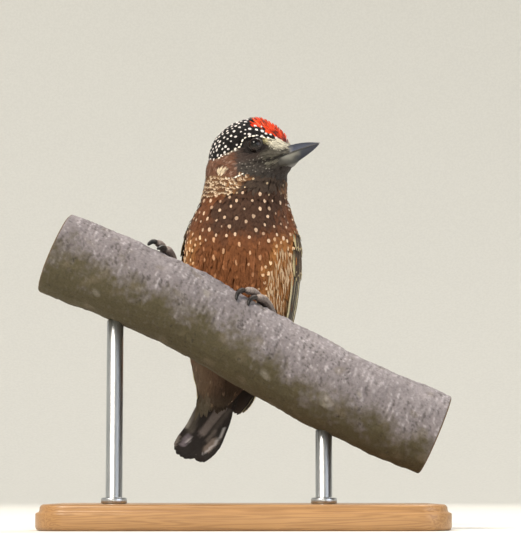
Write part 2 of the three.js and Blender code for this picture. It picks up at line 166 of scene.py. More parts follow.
def normals_of(points, faces):
    total = np.zeros_like(points)
    for group in faces:
        at = points[group]
        across = np.cross(at[:, 1] - at[:, 0], at[:, 2] - at[:, 0])
        if group.shape[1] == 4:
            across = np.cross(at[:, 2] - at[:, 0], at[:, 3] - at[:, 1])
        for corner in group.T:
            for axis in range(3):
                total[:, axis] += np.bincount(corner, across[:, axis], len(points))
    return unit(total)


def placed(name, data):
    """A new object in the scene."""
    thing = bpy.data.objects.new(name, data)
    bpy.context.scene.collection.objects.link(thing)
    return thing


def joined(parts):
    """One set of points and triangles from several."""
    starts = np.cumsum([0] + [len(points) for points, _ in parts])
    points = np.vstack([points for points, _ in parts])
    faces = np.vstack([group + start for (_, group), start in zip(parts, starts)])
    return points, faces


def node(name, swell=0.0):
    """A CAD node's points, moved out along their normals by swell, and its triangles."""
    points, faces = arrays_of(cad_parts[name].data)
    return points + swell * normals_of(points, [faces]), faces


def fused(parts, voxel, rounds):
    """One closed, smoothed skin round overlapping solids, as points and quads."""
    points, faces = joined(parts)
    thing = placed("fusing", mesh_of("fusing", points, [faces], 1.0))
    remesh = thing.modifiers.new("remesh", "REMESH")
    remesh.mode = "VOXEL"
    remesh.voxel_size = voxel
    soften = thing.modifiers.new("soften", "SMOOTH")
    soften.iterations = rounds
    made = bpy.data.meshes.new_from_object(thing.evaluated_get(bpy.context.evaluated_depsgraph_get()))
    points = np.empty(len(made.vertices) * 3)
    made.vertices.foreach_get("co", points)
    quads = np.empty(len(made.loops), int)
    made.loops.foreach_get("vertex_index", quads)
    bpy.data.objects.remove(thing)
    return points.reshape(-1, 3), quads.reshape(-1, 4)


def relaxed(points, quads, rounds):
    """Points each moved halfway to the mean of their neighbours, some rounds over."""
    a, b = quads.ravel(), np.roll(quads, -1, axis=1).ravel()
    count = np.bincount(a, minlength=len(points))[:, None]
    for _ in range(rounds):
        means = np.stack([np.bincount(a, points[b, axis], len(points)) for axis in range(3)], 1)
        points = (points + means / count) / 2
    return points


def piece(name, mesh, material, replaces=()):
    """An object that rides on the part's one body and stands for some CAD nodes."""
    thing = placed(name, mesh)
    mesh.materials.append(material)
    if not mesh.has_custom_normals:
        mesh.shade_smooth()
    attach(thing, "root")
    if replaces:
        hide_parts(*replaces)


def paint(mesh, tone):
    """Stores one colour for each point, which the materials read as tone."""
    rows = np.ones((len(mesh.vertices), 4), np.float32)
    rows[:, :3] = np.clip(tone, 0, 1).reshape(-1, 3)
    layer = mesh.attributes.new("tone", "FLOAT_COLOR", "POINT")
    layer.data.foreach_set("color", rows.ravel())


def grid_faces(rows, columns, closed=False):
    """Quads of a grid of points, which may join up across its columns."""
    r, c = np.meshgrid(np.arange(rows - 1), np.arange(columns - (not closed)), indexing="ij")
    after = (c + 1) % columns
    corners = (r * columns + c, r * columns + after, (r + 1) * columns + after, (r + 1) * columns + c)
    return np.stack([corner.ravel() for corner in corners], 1)


def turned_rings(profile, centre, sides):
    """Rings of points round an upright axis from (radius, height) rows."""
    turn, rows = circle(sides), np.array(profile)
    return np.stack([
        centre[0] + rows[:, :1] * np.cos(turn),
        centre[1] + rows[:, :1] * np.sin(turn),
        np.broadcast_to(rows[:, 1:], (len(rows), sides)),
    ], -1)


def tube(rings):
    """Points and faces of a closed tube round rings of points, with a flat face at each end."""
    rows, sides = rings.shape[:2]
    loop = np.arange(sides)
    ends = [loop[::-1][None], (loop + (rows - 1) * sides)[None]]
    return rings.reshape(-1, 3), [grid_faces(rows, sides, True), *ends]


# ------------------------------------------------------------------ materials


class Nodes:
    """A material and short ways to add nodes to it."""

    def __init__(self, name, **constants):
        self.material = bpy.data.materials.new(name)
        self.material.use_nodes = True
        self.tree = self.material.node_tree
        self.shader = self.tree.nodes["Principled BSDF"]
        for socket, value in constants.items():
            self.shader.inputs[socket.replace("_", " ")].default_value = value

    def link(self, value, socket):
        """Sets a socket to a value or links it to another node's output."""
        if isinstance(value, bpy.types.NodeSocket):
            self.tree.links.new(value, socket)
        else:
            socket.default_value = value

    def add(self, kind, **inputs):
        """A node of some kind with values or links for its inputs."""
        made = self.tree.nodes.new("ShaderNode" + kind)
        for socket, value in inputs.items():
            self.link(value, made.inputs[socket])
        return made

    def attribute(self, name, output="Color"):
        made = self.add("Attribute")
        made.attribute_name = name
        return made.outputs[output]

    def place(self, stretch=(1, 1, 1)):
        """Places in the part's frame, stretched so that a pattern runs longer one way."""
        made = self.add("Mapping", Scale=stretch)
        self.link(self.add("TexCoord").outputs["Object"], made.inputs["Vector"])
        return made.outputs["Vector"]

    def noise(self, size, detail=3.0, roughness=0.55, where=None):
        """Noise from 0 to 1 with bumps about size millimetres across."""
        made = self.add("TexNoise", Scale=1 / (size * MM), Detail=detail, Roughness=roughness)
        self.link(where or self.place(), made.inputs["Vector"])
        return made.outputs["Fac"]

    def maths(self, operation, *values):
        made = self.add("Math")
        made.operation = operation
        for value, socket in zip(values, made.inputs):
            self.link(value, socket)
        return made.outputs["Value"]

    def ramp(self, value, low, high, start=0.0, end=1.0):
        """Value carried from low..high to start..end, held beyond them."""
        made = self.add("MapRange")
        for socket, number in zip(made.inputs[1:5], (low, high, start, end)):
            socket.default_value = number
        self.link(value, made.inputs["Value"])
        return made.outputs["Result"]

    def blend(self, share, a, b):
        """The way from colour a to colour b by share."""
        made = self.add("Mix")
        made.data_type = "RGBA"
        self.link(share, made.inputs["Factor"])
        for socket, colour in ((made.inputs[6], a), (made.inputs[7], b)):
            self.link((*linear(colour), 1) if isinstance(colour, str) else colour, socket)
        return made.outputs[2]

    def shade(self, colour, factor):
        """A colour made darker or lighter by a number."""
        made = self.add("VectorMath")
        made.operation = "SCALE"
        self.link(colour, made.inputs[0])
        self.link(factor, made.inputs["Scale"])
        return made.outputs["Vector"]

    def bump(self, height, depth, strength=1.0):
        """Bumps in the surface, as deep as depth in millimetres."""
        made = self.add("Bump", Strength=strength, Distance=depth * MM, Height=height)
        self.link(made.outputs["Normal"], self.shader.inputs["Normal"])

    def finish(self, colour, roughness):
        self.link(colour, self.shader.inputs["Base Color"])
        self.link(roughness, self.shader.inputs["Roughness"])
        return self.material


# How far apart the barbs are, in millimetres, and how steeply they slant.
BARB_PITCH = 0.2
BARB_SLANT = 1.1


def feather_material(name, barb_depth=0.03, gloss=0.3, sheen=0.25):
    """Feathers: the painted tone, fine slanting barbs on both sides of a shaft, and soft mottling."""
    made = Nodes(name, Specular_IOR_Level=gloss, Sheen_Weight=sheen, Sheen_Roughness=0.45)
    split = made.add("SeparateXYZ")
    made.link(made.attribute("vane", "Vector"), split.inputs["Vector"])
    off = made.maths("ABSOLUTE", split.outputs["X"])
    slant = made.maths("SUBTRACT", split.outputs["Y"], made.maths("MULTIPLY", off, BARB_SLANT))
    wave = made.maths("SINE", made.maths("MULTIPLY", slant, 2 * math.pi / BARB_PITCH))
    barbs = made.ramp(wave, -1, 1)
    shaft = made.ramp(off, 0.03, 0.08, 0.86, 1)
    mottle = made.ramp(made.noise(0.5, 4), 0.3, 0.7, 0.88, 1.12)
    light = made.maths("MULTIPLY", made.ramp(barbs, 0, 1, 0.9, 1.06), made.maths("MULTIPLY", mottle, shaft))
    made.bump(barbs, barb_depth)
    roughness = made.ramp(made.noise(1.5), 0.3, 0.7, 0.55, 0.75)
    return made.finish(made.shade(made.attribute("tone"), light), roughness)


def painted_material(name, grain, depth, rough, mottle=0.12, **constants):
    """A painted tone with fine grain of some size and depth: horn, bare skin or the skin under a coat."""
    made = Nodes(name, **constants)
    fine = made.noise(grain, 5, 0.6)
    light = made.ramp(fine, 0.3, 0.7, 1 - mottle, 1 + mottle)
    made.bump(fine, depth)
    return made.finish(
        made.shade(made.attribute("tone"), light),
        made.ramp(made.noise(grain * 4), 0.3, 0.7, rough - 0.06, rough + 0.06),
    )


# ------------------------------------------------------------------ camera, lights and stage

# The camera's place in millimetres, its upward tilt in degrees and its lens in millimetres.
CAMERA = dict(at=(3.9, -487.26, 9.24), tilt=6, lens=128.57)
# The stage in metres: how far out it is flat, the radius of its bend and the height of its wall.
STAGE = dict(flat=1.0, bend=0.5, height=1.6)
STAGE_SIDES = 96
# Each lamp's azimuth and height in degrees, distance and size in metres, watts and colour.
LAMPS = {
    "key": (-38, 52, 1.1, 0.5, 13.5, "#fff3e2"),
    "fill": (48, 18, 1.2, 0.9, 4.4, "#eaf1ff"),
    "top": (150, 62, 1.1, 0.5, 7.5, "#fff8ee"),
    "low": (-8, -3, 0.75, 0.5, 1.0, "#fbf3e0"),
}
# The place that the lamps face, in millimetres.
AIM = np.array([0.0, 8.0, 60.0])


def add_camera():
    bpy.context.scene.view_settings.view_transform = "Standard"
    lens = bpy.data.cameras.new("camera")
    lens.lens = CAMERA["lens"]
    lens.sensor_width = 36
    lens.clip_start = 0.01
    lens.clip_end = 20
    camera = placed("camera", lens)
    camera.location = Vector(CAMERA["at"]) * MM
    camera.rotation_euler = (math.radians(90 + CAMERA["tilt"]), 0, 0)
    bpy.context.scene.camera = camera


def add_lamps():
    for name, (azimuth, height, distance, size, watts, colour) in LAMPS.items():
        lamp = bpy.data.lights.new(name, "AREA")
        lamp.shape = "DISK"
        lamp.size = size
        lamp.energy = watts
        lamp.color = linear(colour)
        thing = placed(name, lamp)
        turn, rise = math.radians(azimuth), math.radians(height)
        way = Vector((math.sin(turn) * math.cos(rise), -math.cos(turn) * math.cos(rise), math.sin(rise)))
        thing.location = Vector(AIM * MM) + way * distance
        thing.rotation_euler = way.to_track_quat("Z", "Y").to_euler()
    world = bpy.data.worlds.new("studio")
    world.use_nodes = True
    sky = world.node_tree.nodes["Background"].inputs
    sky["Color"].default_value = (*linear("#e6ebf0"), 1)
    sky["Strength"].default_value = 0.42
    bpy.context.scene.world = world


def add_stage():
    """A round pale floor that curves up into a wall on every side, so that any view has a plain back."""
    turn = np.linspace(0, math.pi / 2, 14)
    out = STAGE["flat"] + STAGE["bend"] * np.sin(turn)
    up = STAGE["bend"] * (1 - np.cos(turn))
    out = np.concatenate([[0.02], out, [out[-1]]])
    up = np.concatenate([[0], up, [STAGE["height"]]])
    points = turned_rings(np.stack([out, up], 1), (0, 0), STAGE_SIDES).reshape(-1, 3)
    middle = np.arange(STAGE_SIDES)[None]
    walls = grid_faces(len(up), STAGE_SIDES, True)[:, ::-1]
    mesh = mesh_of("stage_floor", points, [walls, middle], 1.0)
    made = Nodes("stage_paper")
    paper = made.blend(made.ramp(made.noise(2.0), 0.4, 0.6), "#dededa", "#e2e2de")
    mesh.materials.append(made.finish(paper, 0.85))
    mesh.shade_smooth()
    placed("stage_floor", mesh)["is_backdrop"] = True


# ------------------------------------------------------------------ the stand and the branch


def mid_box(name):
    low, high = (np.array(corner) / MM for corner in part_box(name))
    return low, high, (low + high) / 2


def wood_material():
    made = Nodes("stand_wood", Coat_Weight=0.25, Coat_Roughness=0.25)
    long = made.place((0.06, 1, 1))
    rings = made.noise(2.2, 2, 0.5, made.place((0.035, 1, 1)))
    lines = made.ramp(made.maths("SINE", made.maths("MULTIPLY", rings, 60)), -1, 1)
    pores = made.noise(0.28, 3, 0.6, long)
    warm = made.blend(made.noise(12, 2), "#9c7346", "#b58a58")
    ringed = made.blend(made.ramp(lines, 0.2, 1, 0, 0.45), warm, "#7d5732")
    flecked = made.blend(made.ramp(pores, 0.36, 0.26, 0, 0.5), ringed, "#5e4026")
    made.bump(pores, 0.05, 0.6)
    return made.finish(flecked, made.ramp(pores, 0.3, 0.7, 0.45, 0.36))


def steel_material():
    made = Nodes("rod_steel", Metallic=1.0)
    brushed = made.noise(0.12, 2, 0.5, made.place((1, 1, 0.02)))
    tone = made.blend(brushed, "#a9adb2", "#c9ccd0")
    made.bump(brushed, 0.01, 0.4)
    return made.finish(tone, made.ramp(brushed, 0.2, 0.8, 0.24, 0.4))


# The radius of the base's corners, and how many sides stand in for a rod's roundness.
BASE_CORNER = 8.0
ROD_SIDES = 48


def add_base():
    """The flat base: rounded corners, an eased lower edge and a small cove round the top."""
    low, high, middle = mid_box("stand_base")
    half = (high - low) / 2
    top = high[2]
    # How far in from the outline and how high each row of the side is.
    profile = [(0.9, low[2]), (0.25, low[2] + 0.25), (0, low[2] + 0.9), (0, top - 2.3), (0.1, top - 2.0),
               (0.75, top - 1.75), (0.95, top - 1.3), (1.0, top - 0.7), (1.25, top - 0.25), (1.75, top)]
    steps = np.linspace(0, math.pi / 2, 12)
    rows = []
    for inset, z in profile:
        ring = []
        for i, (sx, sy) in enumerate(((1, 1), (-1, 1), (-1, -1), (1, -1))):
            turns = steps + i * math.pi / 2
            radius = BASE_CORNER - inset
            ring += [(middle[0] + sx * (half[0] - BASE_CORNER) + radius * math.cos(t),
                      middle[1] + sy * (half[1] - BASE_CORNER) + radius * math.sin(t), z) for t in turns]
        rows.append(ring)
    mesh = mesh_of("stand_block", *tube(np.array(rows)))
    piece("stand_block", mesh, wood_material(), ["stand_base"])
    mesh.polygons.foreach_set("use_smooth", np.array([len(p.vertices) == 4 for p in mesh.polygons]))


def add_rods():
    """Each rod with a chamfered top, and a turned collar where it enters the base."""
    steel = steel_material()
    floor = mid_box("stand_base")[1][2]
    for name in ("stand_rod_1", "stand_rod_2"):
        low, high, middle = mid_box(name)
        radius = (high[0] - low[0]) / 2
        collar = radius + 1.1
        profile = [(collar - 0.5, floor), (collar, floor + 0.1), (collar, floor + 1.2),
                   (collar - 0.3, floor + 1.5), (radius + 0.05, floor + 1.5), (radius, floor + 1.55),
                   (radius, high[2] - 0.3), (radius - 0.3, high[2])]
        mesh = mesh_of(name, *tube(turned_rings(profile, middle, ROD_SIDES)))
        piece(name.replace("stand_", "stand_steel_"), mesh, steel, [name])


# The branch's grid: rings along it and points round each.
PERCH_ROWS = 390
PERCH_SIDES = 240
# Knots and scars: x, degrees round from the top towards the belly's side, radius and height.
KNOTS = [
    (19.3, 112, 2.2, 0.28), (5.0, 119, 1.5, 0.2), (27.0, 86, 0.9, 0.18), (-9.0, 56, 1.2, 0.15),
    (-35.0, 122, 1.3, 0.2), (-22.8, 200, 2.0, 0.3), (36.0, 290, 1.8, 0.3), (9.0, 250, 1.4, 0.2),
]
# Places where the bark is darker and broken: x, degrees and reach.
SCARS = [
    (15.1, 76, 2.6), (17.9, 60, 1.8), (4.3, 100, 2.2), (-0.9, 70, 2.5), (-7.3, 85, 2.0), (27, 118, 1.2),
    (32, 131, 1.5), (33.1, 150, 1.6), (-22.5, 78, 1.6), (41, 100, 2.5), (-17.6, 150, 2.0), (13.9, 240, 3.0),
]


def perch_grid():
    """Rings of points on the CAD branch, level with its sawn ends, their ways out, and the turn of each."""
    points, faces = node("perch")
    corners = points[faces]
    across = np.cross(corners[:, 1] - corners[:, 0], corners[:, 2] - corners[:, 0])
    size = np.linalg.norm(across, axis=1)
    ends, cut = [], np.zeros(3)
    for side in (-1, 1):
        sawn = side * across[:, 0] > 0.8 * size
        ends.append(np.average(corners[sawn].mean(1), axis=0, weights=size[sawn]))
        cut += side * unit(across[sawn].sum(0))
    up = unit(np.cross(cut, [0, 1, 0]))
    front = np.cross(unit(cut), up)
    tree = BVHTree.FromPolygons(points.tolist(), faces.tolist())
    turn = circle(PERCH_SIDES)
    way = np.cos(turn)[:, None] * up + np.sin(turn)[:, None] * front
    rows = np.empty((PERCH_ROWS, PERCH_SIDES, 3))
    for i, share in enumerate(np.linspace(0.008, 0.992, PERCH_ROWS)):
        start = ends[0] * (1 - share) + ends[1] * share
        for _ in range(2):
            hits = [tree.ray_cast(Vector(start), Vector(one))[0] for one in way]
            ring = np.array([hit if hit else start for hit in hits])
            start = ring.mean(0)
        rows[i] = ring
    return rows, way, turn


# The rings of a sawn end, as shares of the bark's edge, and how far each stands out.
SAWN_SHARES = (0.985, 0.955, 0.93, 0.8, 0.66, 0.52, 0.38, 0.24, 0.1, 0.01)
SAWN_RISE = (0.25, 0.42, 0.45, 0.42, 0.42, 0.4, 0.4, 0.38, 0.36, 0.34)


def sawn_end(edge, centre, inward):
    """Rings of points and tones from the bark's edge to the pith, with the wood's own rings."""
    shares, rise = np.array(SAWN_SHARES), np.array(SAWN_RISE)
    out = unit(centre[0] - inward[0])
    points = centre + shares[:, None, None] * edge + rise[:, None, None] * out
    across = np.zeros(PERCH_SIDES)
    tone = mix("#b79b73", "#8c6d48", 0.5 + 0.5 * np.sin(shares * 60)[:, None] + across)
    return points, mix(tone, "#5b4b3b", smooth(0.93, 0.97, shares)[:, None] + across)


def with_sawn_ends(bark, tone, centres):
    """The bark's rings and tones with those of both sawn ends added."""
    first, first_tone = sawn_end(bark[0] - centres[0], centres[0], centres[1])
    last, last_tone = sawn_end(bark[-1] - centres[-1], centres[-1], centres[-2])
    return np.concatenate([first[::-1], bark, last]), np.concatenate([first_tone[::-1], tone, last_tone])


def bark_material():
    made = Nodes("bark", Specular_IOR_Level=0.25)
    fine, coarse = made.noise(0.45, 6, 0.7), made.noise(2.5, 5, 0.65)
    light = made.maths("MULTIPLY", made.ramp(fine, 0.25, 0.75, 0.74, 1.24),
                       made.ramp(coarse, 0.3, 0.7, 0.92, 1.08))
    made.bump(made.maths("ADD", fine, made.maths("MULTIPLY", coarse, 1.5)), 0.22)
    return made.finish(made.shade(made.attribute("tone"), light), made.ramp(fine, 0.2, 0.8, 0.95, 0.75))


def add_perch():
    """The branch's bark with its wrinkles, knots and scars, and its sawn ends."""
    rows, way, turn = perch_grid()
    centres = rows.mean(1, keepdims=True)
    radius = np.linalg.norm(rows - centres, axis=2)
    length = np.linalg.norm(centres[-1] - centres[0])
    run = np.broadcast_to(np.linspace(0, length, PERCH_ROWS)[:, None], radius.shape)
    # Places on the bark in which one unit round the branch counts less than one along it.
    ringed = np.stack([run, 3.2 * np.cos(turn) + 0 * run, 3.2 * np.sin(turn) + 0 * run], -1)
    relief = 0.16 * ripples(rows, 14, 1) + 0.07 * ripples(rows, 4, 2) + 0.04 * ripples(ringed, 1.5, 3, 40)
    wrinkles = ripples(ringed, 1.1, 4, 60) + 0.8 * ripples(rows, 0.9, 5, 60)
    degrees = np.degrees(turn)
    # How far each place faces up, which the painted light and shade of the tones and the roughness follow.
    facing = way[:, 2] + 0.16 * ripples(rows, 6, 11) + 0.1 * ripples(rows, 1.6, 12)
    rough = (0.25 + 0.75 * smooth(-0.55, 0.15, facing)) * (0.55 + 0.45 * smooth(-1, 1, ripples(rows, 8, 15)))
    relief += 0.05 * wrinkles * rough
    pale, broken = np.zeros(radius.shape), np.zeros(radius.shape)

    def reach(x, at):
        round_about = (degrees - at + 180) % 360 - 180
        return np.hypot(rows[:, :, 0] - x, np.radians(round_about) * radius * 0.9)

    for x, at, size, height in KNOTS:
        far = reach(x, at) * (1 + 0.12 * ripples(rows, 2, int(at))) / size
        relief += 0.8 * height * np.cos(far * 2 * math.pi / 0.7) * np.exp(-(far / 0.9) ** 2)
        pale = np.maximum(pale, 0.6 * smooth(1.0, 0.2, far))
    for x, at, size in SCARS:
        broken = np.maximum(broken, smooth(1.2, 0.2, reach(x, at) / size))
    flecks = ripples(rows, 0.8, 8, 60) + 0.8 * ripples(ringed, 2.0, 9)
    dark = smooth(1.6, 2.6, flecks + 1.1 * broken) * smooth(-1.2, 0.4, ripples(rows, 7, 10) + 1.5 * broken)
    relief -= 0.12 * dark
    bark = rows + way * relief[..., None]
    # The shade reaches further up the branch's higher half.
    facing = facing - 0.34 * smooth(16, -4, rows[:, :, 0])
    lit = 0.25 + 0.75 * smooth(-0.4, 0.3, facing)
    # Painted light and shade: the olive-brown underside is painted shade and the paler grey top is painted
    # light. The pale wrinkles are painted highlights where the bark is lit, and the wrinkles' dark troughs
    # are painted shade.
    tone = layered(
        mix("#4c4634", "#767073", smooth(-0.7, 0.15, facing)),
        ("#8d878a", smooth(0.1, 0.9, facing) * 0.85),
        ("#6b6252", 0.4 * smooth(0.6, 1.6, ripples(rows, 5, 13))),
        ("#bab5b9", 0.6 * lit * rough * smooth(0.5, 2.0, wrinkles)),
        ("#38332f", 0.7 * rough * smooth(-0.5, -2.0, wrinkles)),
        ("#98938a", 0.7 * pale),
        ("#2e2a27", 0.7 * dark),
    )
    points, tones = with_sawn_ends(bark, tone, centres)
    mesh = mesh_of("branch", *tube(points))
    paint(mesh, tones)
    piece("branch", mesh, bark_material(), ["perch"])


# ------------------------------------------------------------------ the bird's own directions

# Where the bill's tip and an eye lie in the head's frame: ahead of the bill's base, to the side, up.
BILL_TIP = (9.7, 0.0, -0.35)
EYE = (-5.0, 5.8, 3.6)

eyes = {side: mid_box(f"eye_{side}")[2] for side in SIDES}
EYE_RADIUS = (mid_box("eye_left")[1] - mid_box("eye_left")[0])[2] / 2
LEFT = unit(eyes["left"] - eyes["right"])
eye_middle = (eyes["left"] + eyes["right"]) / 2
bill_points = node("bill_upper")[0]
tip = bill_points[np.linalg.norm(bill_points - eye_middle, axis=1).argmax()]
sight = unit(tip - eye_middle - LEFT * dot(tip - eye_middle, LEFT))
lean = math.atan2(EYE[2] - BILL_TIP[2], BILL_TIP[0] - EYE[0])
AHEAD = math.cos(lean) * sight + math.sin(lean) * np.cross(sight, LEFT)
UP = np.cross(AHEAD, LEFT)
HEAD_BASE = eye_middle - EYE[0] * AHEAD - EYE[2] * UP


def head_point(ahead, left, up):
    """A point or an array of points from the head's own frame."""
    ahead, left, up = (np.asarray(value, float)[..., None] for value in (ahead, left, up))
    return HEAD_BASE + ahead * AHEAD + left * LEFT + up * UP


def in_head(points):
    """How far ahead, to the left and up points lie in the head's own frame."""
    away = points - HEAD_BASE
    return away @ AHEAD, away @ LEFT, away @ UP


def spine_of(points):
    """The trunk's middle at a set of heights."""
    levels = np.arange(points[:, 2].min() + 1, points[:, 2].max(), 2.5)
    middles = []
    for level in levels:
        ring = points[np.abs(points[:, 2] - level) < 2.0]
        middles.append((ring.min(0) + ring.max(0)) / 2)
    return levels, np.array(middles)


SPINE_LEVELS, SPINE = spine_of(np.vstack([node("trunk")[0], node("neck")[0]]))
BODY_LEFT = unit((mid_box("wing_left")[2] - mid_box("wing_right")[2]) * (1, 1, 0))
BODY_FRONT = np.array([BODY_LEFT[1], -BODY_LEFT[0], 0])
# How far round from the belly, in degrees to the left, the bird's middle line has turned at each height.
TWIST = ((60, 0), (66, 8), (71, 16), (78, 28), (83, 48), (88, 66))


def spine_at(z):
    """The trunk's middle at some heights."""
    return np.stack([np.interp(z, SPINE_LEVELS, SPINE[:, axis]) for axis in (0, 1)] + [z], -1)


def round_body(points):
    """Degrees round from the belly to the bird's left, as the body lies."""
    out = points - spine_at(points[..., 2])
    return np.degrees(np.arctan2(out @ BODY_LEFT, out @ BODY_FRONT))


def round_marks(points):
    """Degrees round from the middle line of the markings, which the turned neck twists."""
    heights, turns = np.array(TWIST).T
    return (round_body(points) - np.interp(points[..., 2], heights, turns) + 180) % 360 - 180


# ------------------------------------------------------------------ surfaces


class Surface:
    """Points and quads with their normals, and a quick way to find the nearest place."""

    def __init__(self, points, quads):
        self.points, self.quads = points, quads
        self.normals = normals_of(points, [quads])
        self.tree = BVHTree.FromPolygons(points.tolist(), quads.tolist())

    def nearest(self, points):
        """The nearest places on the surface and their smooth normals."""
        places, normals = np.empty_like(points), np.empty_like(points)
        for i, point in enumerate(points):
            place, _, quad, _ = self.tree.find_nearest(Vector(point))
            places[i] = place
            normals[i] = self.normals[self.quads[quad]].mean(0)
        return places, unit(normals)

    def seen_from(self, starts, ways):
        """Where rays meet the surface, or NaN."""
        hits = [self.tree.ray_cast(Vector(start), Vector(way))[0] for start, way in zip(starts, ways)]
        return np.array([hit if hit else (np.nan,) * 3 for hit in hits])

    def sprinkled(self, count, rng):
        """Random places spread evenly over the surface, with their normals."""
        corners = self.points[self.quads]
        across = np.cross(corners[:, 2] - corners[:, 0], corners[:, 3] - corners[:, 1])
        area = np.linalg.norm(across, axis=1)
        picked = rng.choice(len(area), count, p=area / area.sum())
        s, t = rng.random((2, count, 1))
        at = corners[picked]
        places = (at[:, 0] * (1 - s) + at[:, 1] * s) * (1 - t) + (at[:, 3] * (1 - s) + at[:, 2] * s) * t
        return places, unit(self.normals[self.quads[picked]].mean(1))


def tree_of(points):
    tree = KDTree(len(points))
    for i, point in enumerate(points):
        tree.insert(point, i)
    tree.balance()
    return tree


def thinned(points, spacing, rng):
    """Which points to keep so that none is nearer to another than its own spacing."""
    tree = tree_of(points)
    free = np.ones(len(points), bool)
    kept = []
    for i in rng.permutation(len(points)):
        if free[i]:
            kept.append(i)
            near = [j for _, j, _ in tree.find_range(points[i], spacing[i])]
            free[near] = False
    return np.array(kept, int)


# ------------------------------------------------------------------ regions and markings

# How far the CAD's nodes grow before they fuse, which closes the gaps between them.
CAD_GAP = 0.25
# Each region's feathers: length, width and spacing, depth of the coat, lift of the tips, piece.
REGIONS = {
    "cap": (2.2, 1.0, 0.53, 0.60, 0.06, "coat_crown"),
    "red": (2.4, 0.55, 0.42, 0.70, 0.20, "coat_crown"),
    "face": (1.4, 0.36, 0.33, 0.35, 0.05, "coat_face"),
    "cheek": (1.9, 0.55, 0.43, 0.50, 0.06, "coat_face"),
    "throat": (1.9, 0.65, 0.46, 0.55, 0.04, "coat_face"),
    "neck": (2.6, 0.9, 0.54, 0.8, 0.05, "coat_neck"),
    "breast": (3.6, 1.2, 0.62, 1.0, 0.05, "coat_breast"),
    "belly": (4.6, 0.75, 0.58, 1.1, 0.09, "coat_belly"),
    "flank": (5.2, 0.85, 0.62, 1.1, 0.10, "coat_flanks"),
    "back": (4.2, 1.6, 0.82, 1.1, 0.05, "coat_back"),
    "vent": (4.6, 0.9, 0.64, 0.8, 0.09, "coat_vent"),
    "thigh": (3.0, 0.8, 0.58, 0.8, 0.12, "coat_vent"),
}
NAMES = list(REGIONS)
SIZES = np.array([REGIONS[name][:5] for name in NAMES])

# Lines on the side of the head, as heights at distances ahead of the bill's base.
CAP_LINE = ((-22, 4.4), (-18.3, 4.6), (-15.5, 3.6), (-9, 3.6), (-7.8, 3.9), (-6.4, 5.8), (-4.6, 5.9),
            (-2.2, 5.0), (-1, 4.3))
RED_LINE = ((-5.4, 9.6), (-4.0, 9.0), (-2.6, 7.8), (-1.9, 6.4), (-0.8, 4.9), (0.7, 3.9))
JAW_LINE = ((-22, 2.5), (-18.8, 0.3), (-15.7, -1.0), (-13, -2.8), (-9.5, -3.3), (-6, -4.4), (-3, -5.8))
LORE_LINE = ((-3.0, 3.7), (-1.6, 2.7), (1.2, 1.1))
GAPE_LINE = ((-7.5, -1.0), (-5.5, -0.7), (-3.5, -0.75), (-2.0, -0.95), (-0.6, -0.7), (1, -0.5))
# How far behind the bill's base the red of the crown ends.
RED_END = -5.4


def line_at(line, x):
    return np.interp(x, *np.array(line).T)


def near_line(line, x, y, half):
    """1 close to a line on the head and 0 a little over half away from it."""
    return smooth(half * 1.6, half * 0.5, np.abs(y - line_at(line, x)))


def region_of(points):
    """The number of the region that each point of the coat lies in."""
    a, _, u = in_head(points)
    z, psi = points[:, 2], np.abs(round_marks(points))
    wave = 0.25 * ripples(points, 2.5, 21)
    on_head = (u > line_at(JAW_LINE, a) + wave) & (z > 82)
    cap = on_head & (u > line_at(CAP_LINE, a) + 0.3 * wave) & (a < 0.6)
    red = cap & (u > line_at(RED_LINE, a) + wave) & (a > RED_END + 2 * wave)
    red |= on_head & (u > line_at(RED_LINE, a)) & (a > -1.5)
    near_thigh = np.zeros(len(points), bool)
    for side in SIDES:
        low, high, middle = mid_box(f"thigh_{side}")
        near_thigh |= (((points - middle) / ((high - low) / 2 + 0.4)) ** 2).sum(1) < 1
    choices = [
        (red, "red"),
        (cap, "cap"),
        (on_head & (a > -3.2) & (u > -1.9), "face"),
        (on_head & ((u < 0.6) | (a > -3.2)) & (a > -9.6), "throat"),
        (on_head, "cheek"),
        (near_thigh & (z < 58), "thigh"),
        (z > 82.3 + 2 * wave, "neck"),
        (psi > 88 + 12 * wave, "back"),
        (z < 44 + 3 * wave, "vent"),
        ((psi > 42 + 10 * wave) & (z < 71.5 + 2 * wave), "flank"),
        (z < 71 + 3 * wave, "belly"),
    ]
    numbers = [NAMES.index(name) for _, name in choices]
    return np.select([mask for mask, _ in choices], numbers, NAMES.index("breast"))


def among(regions, *names):
    """Which region numbers are those of the names."""
    return np.isin(regions, [NAMES.index(name) for name in names])


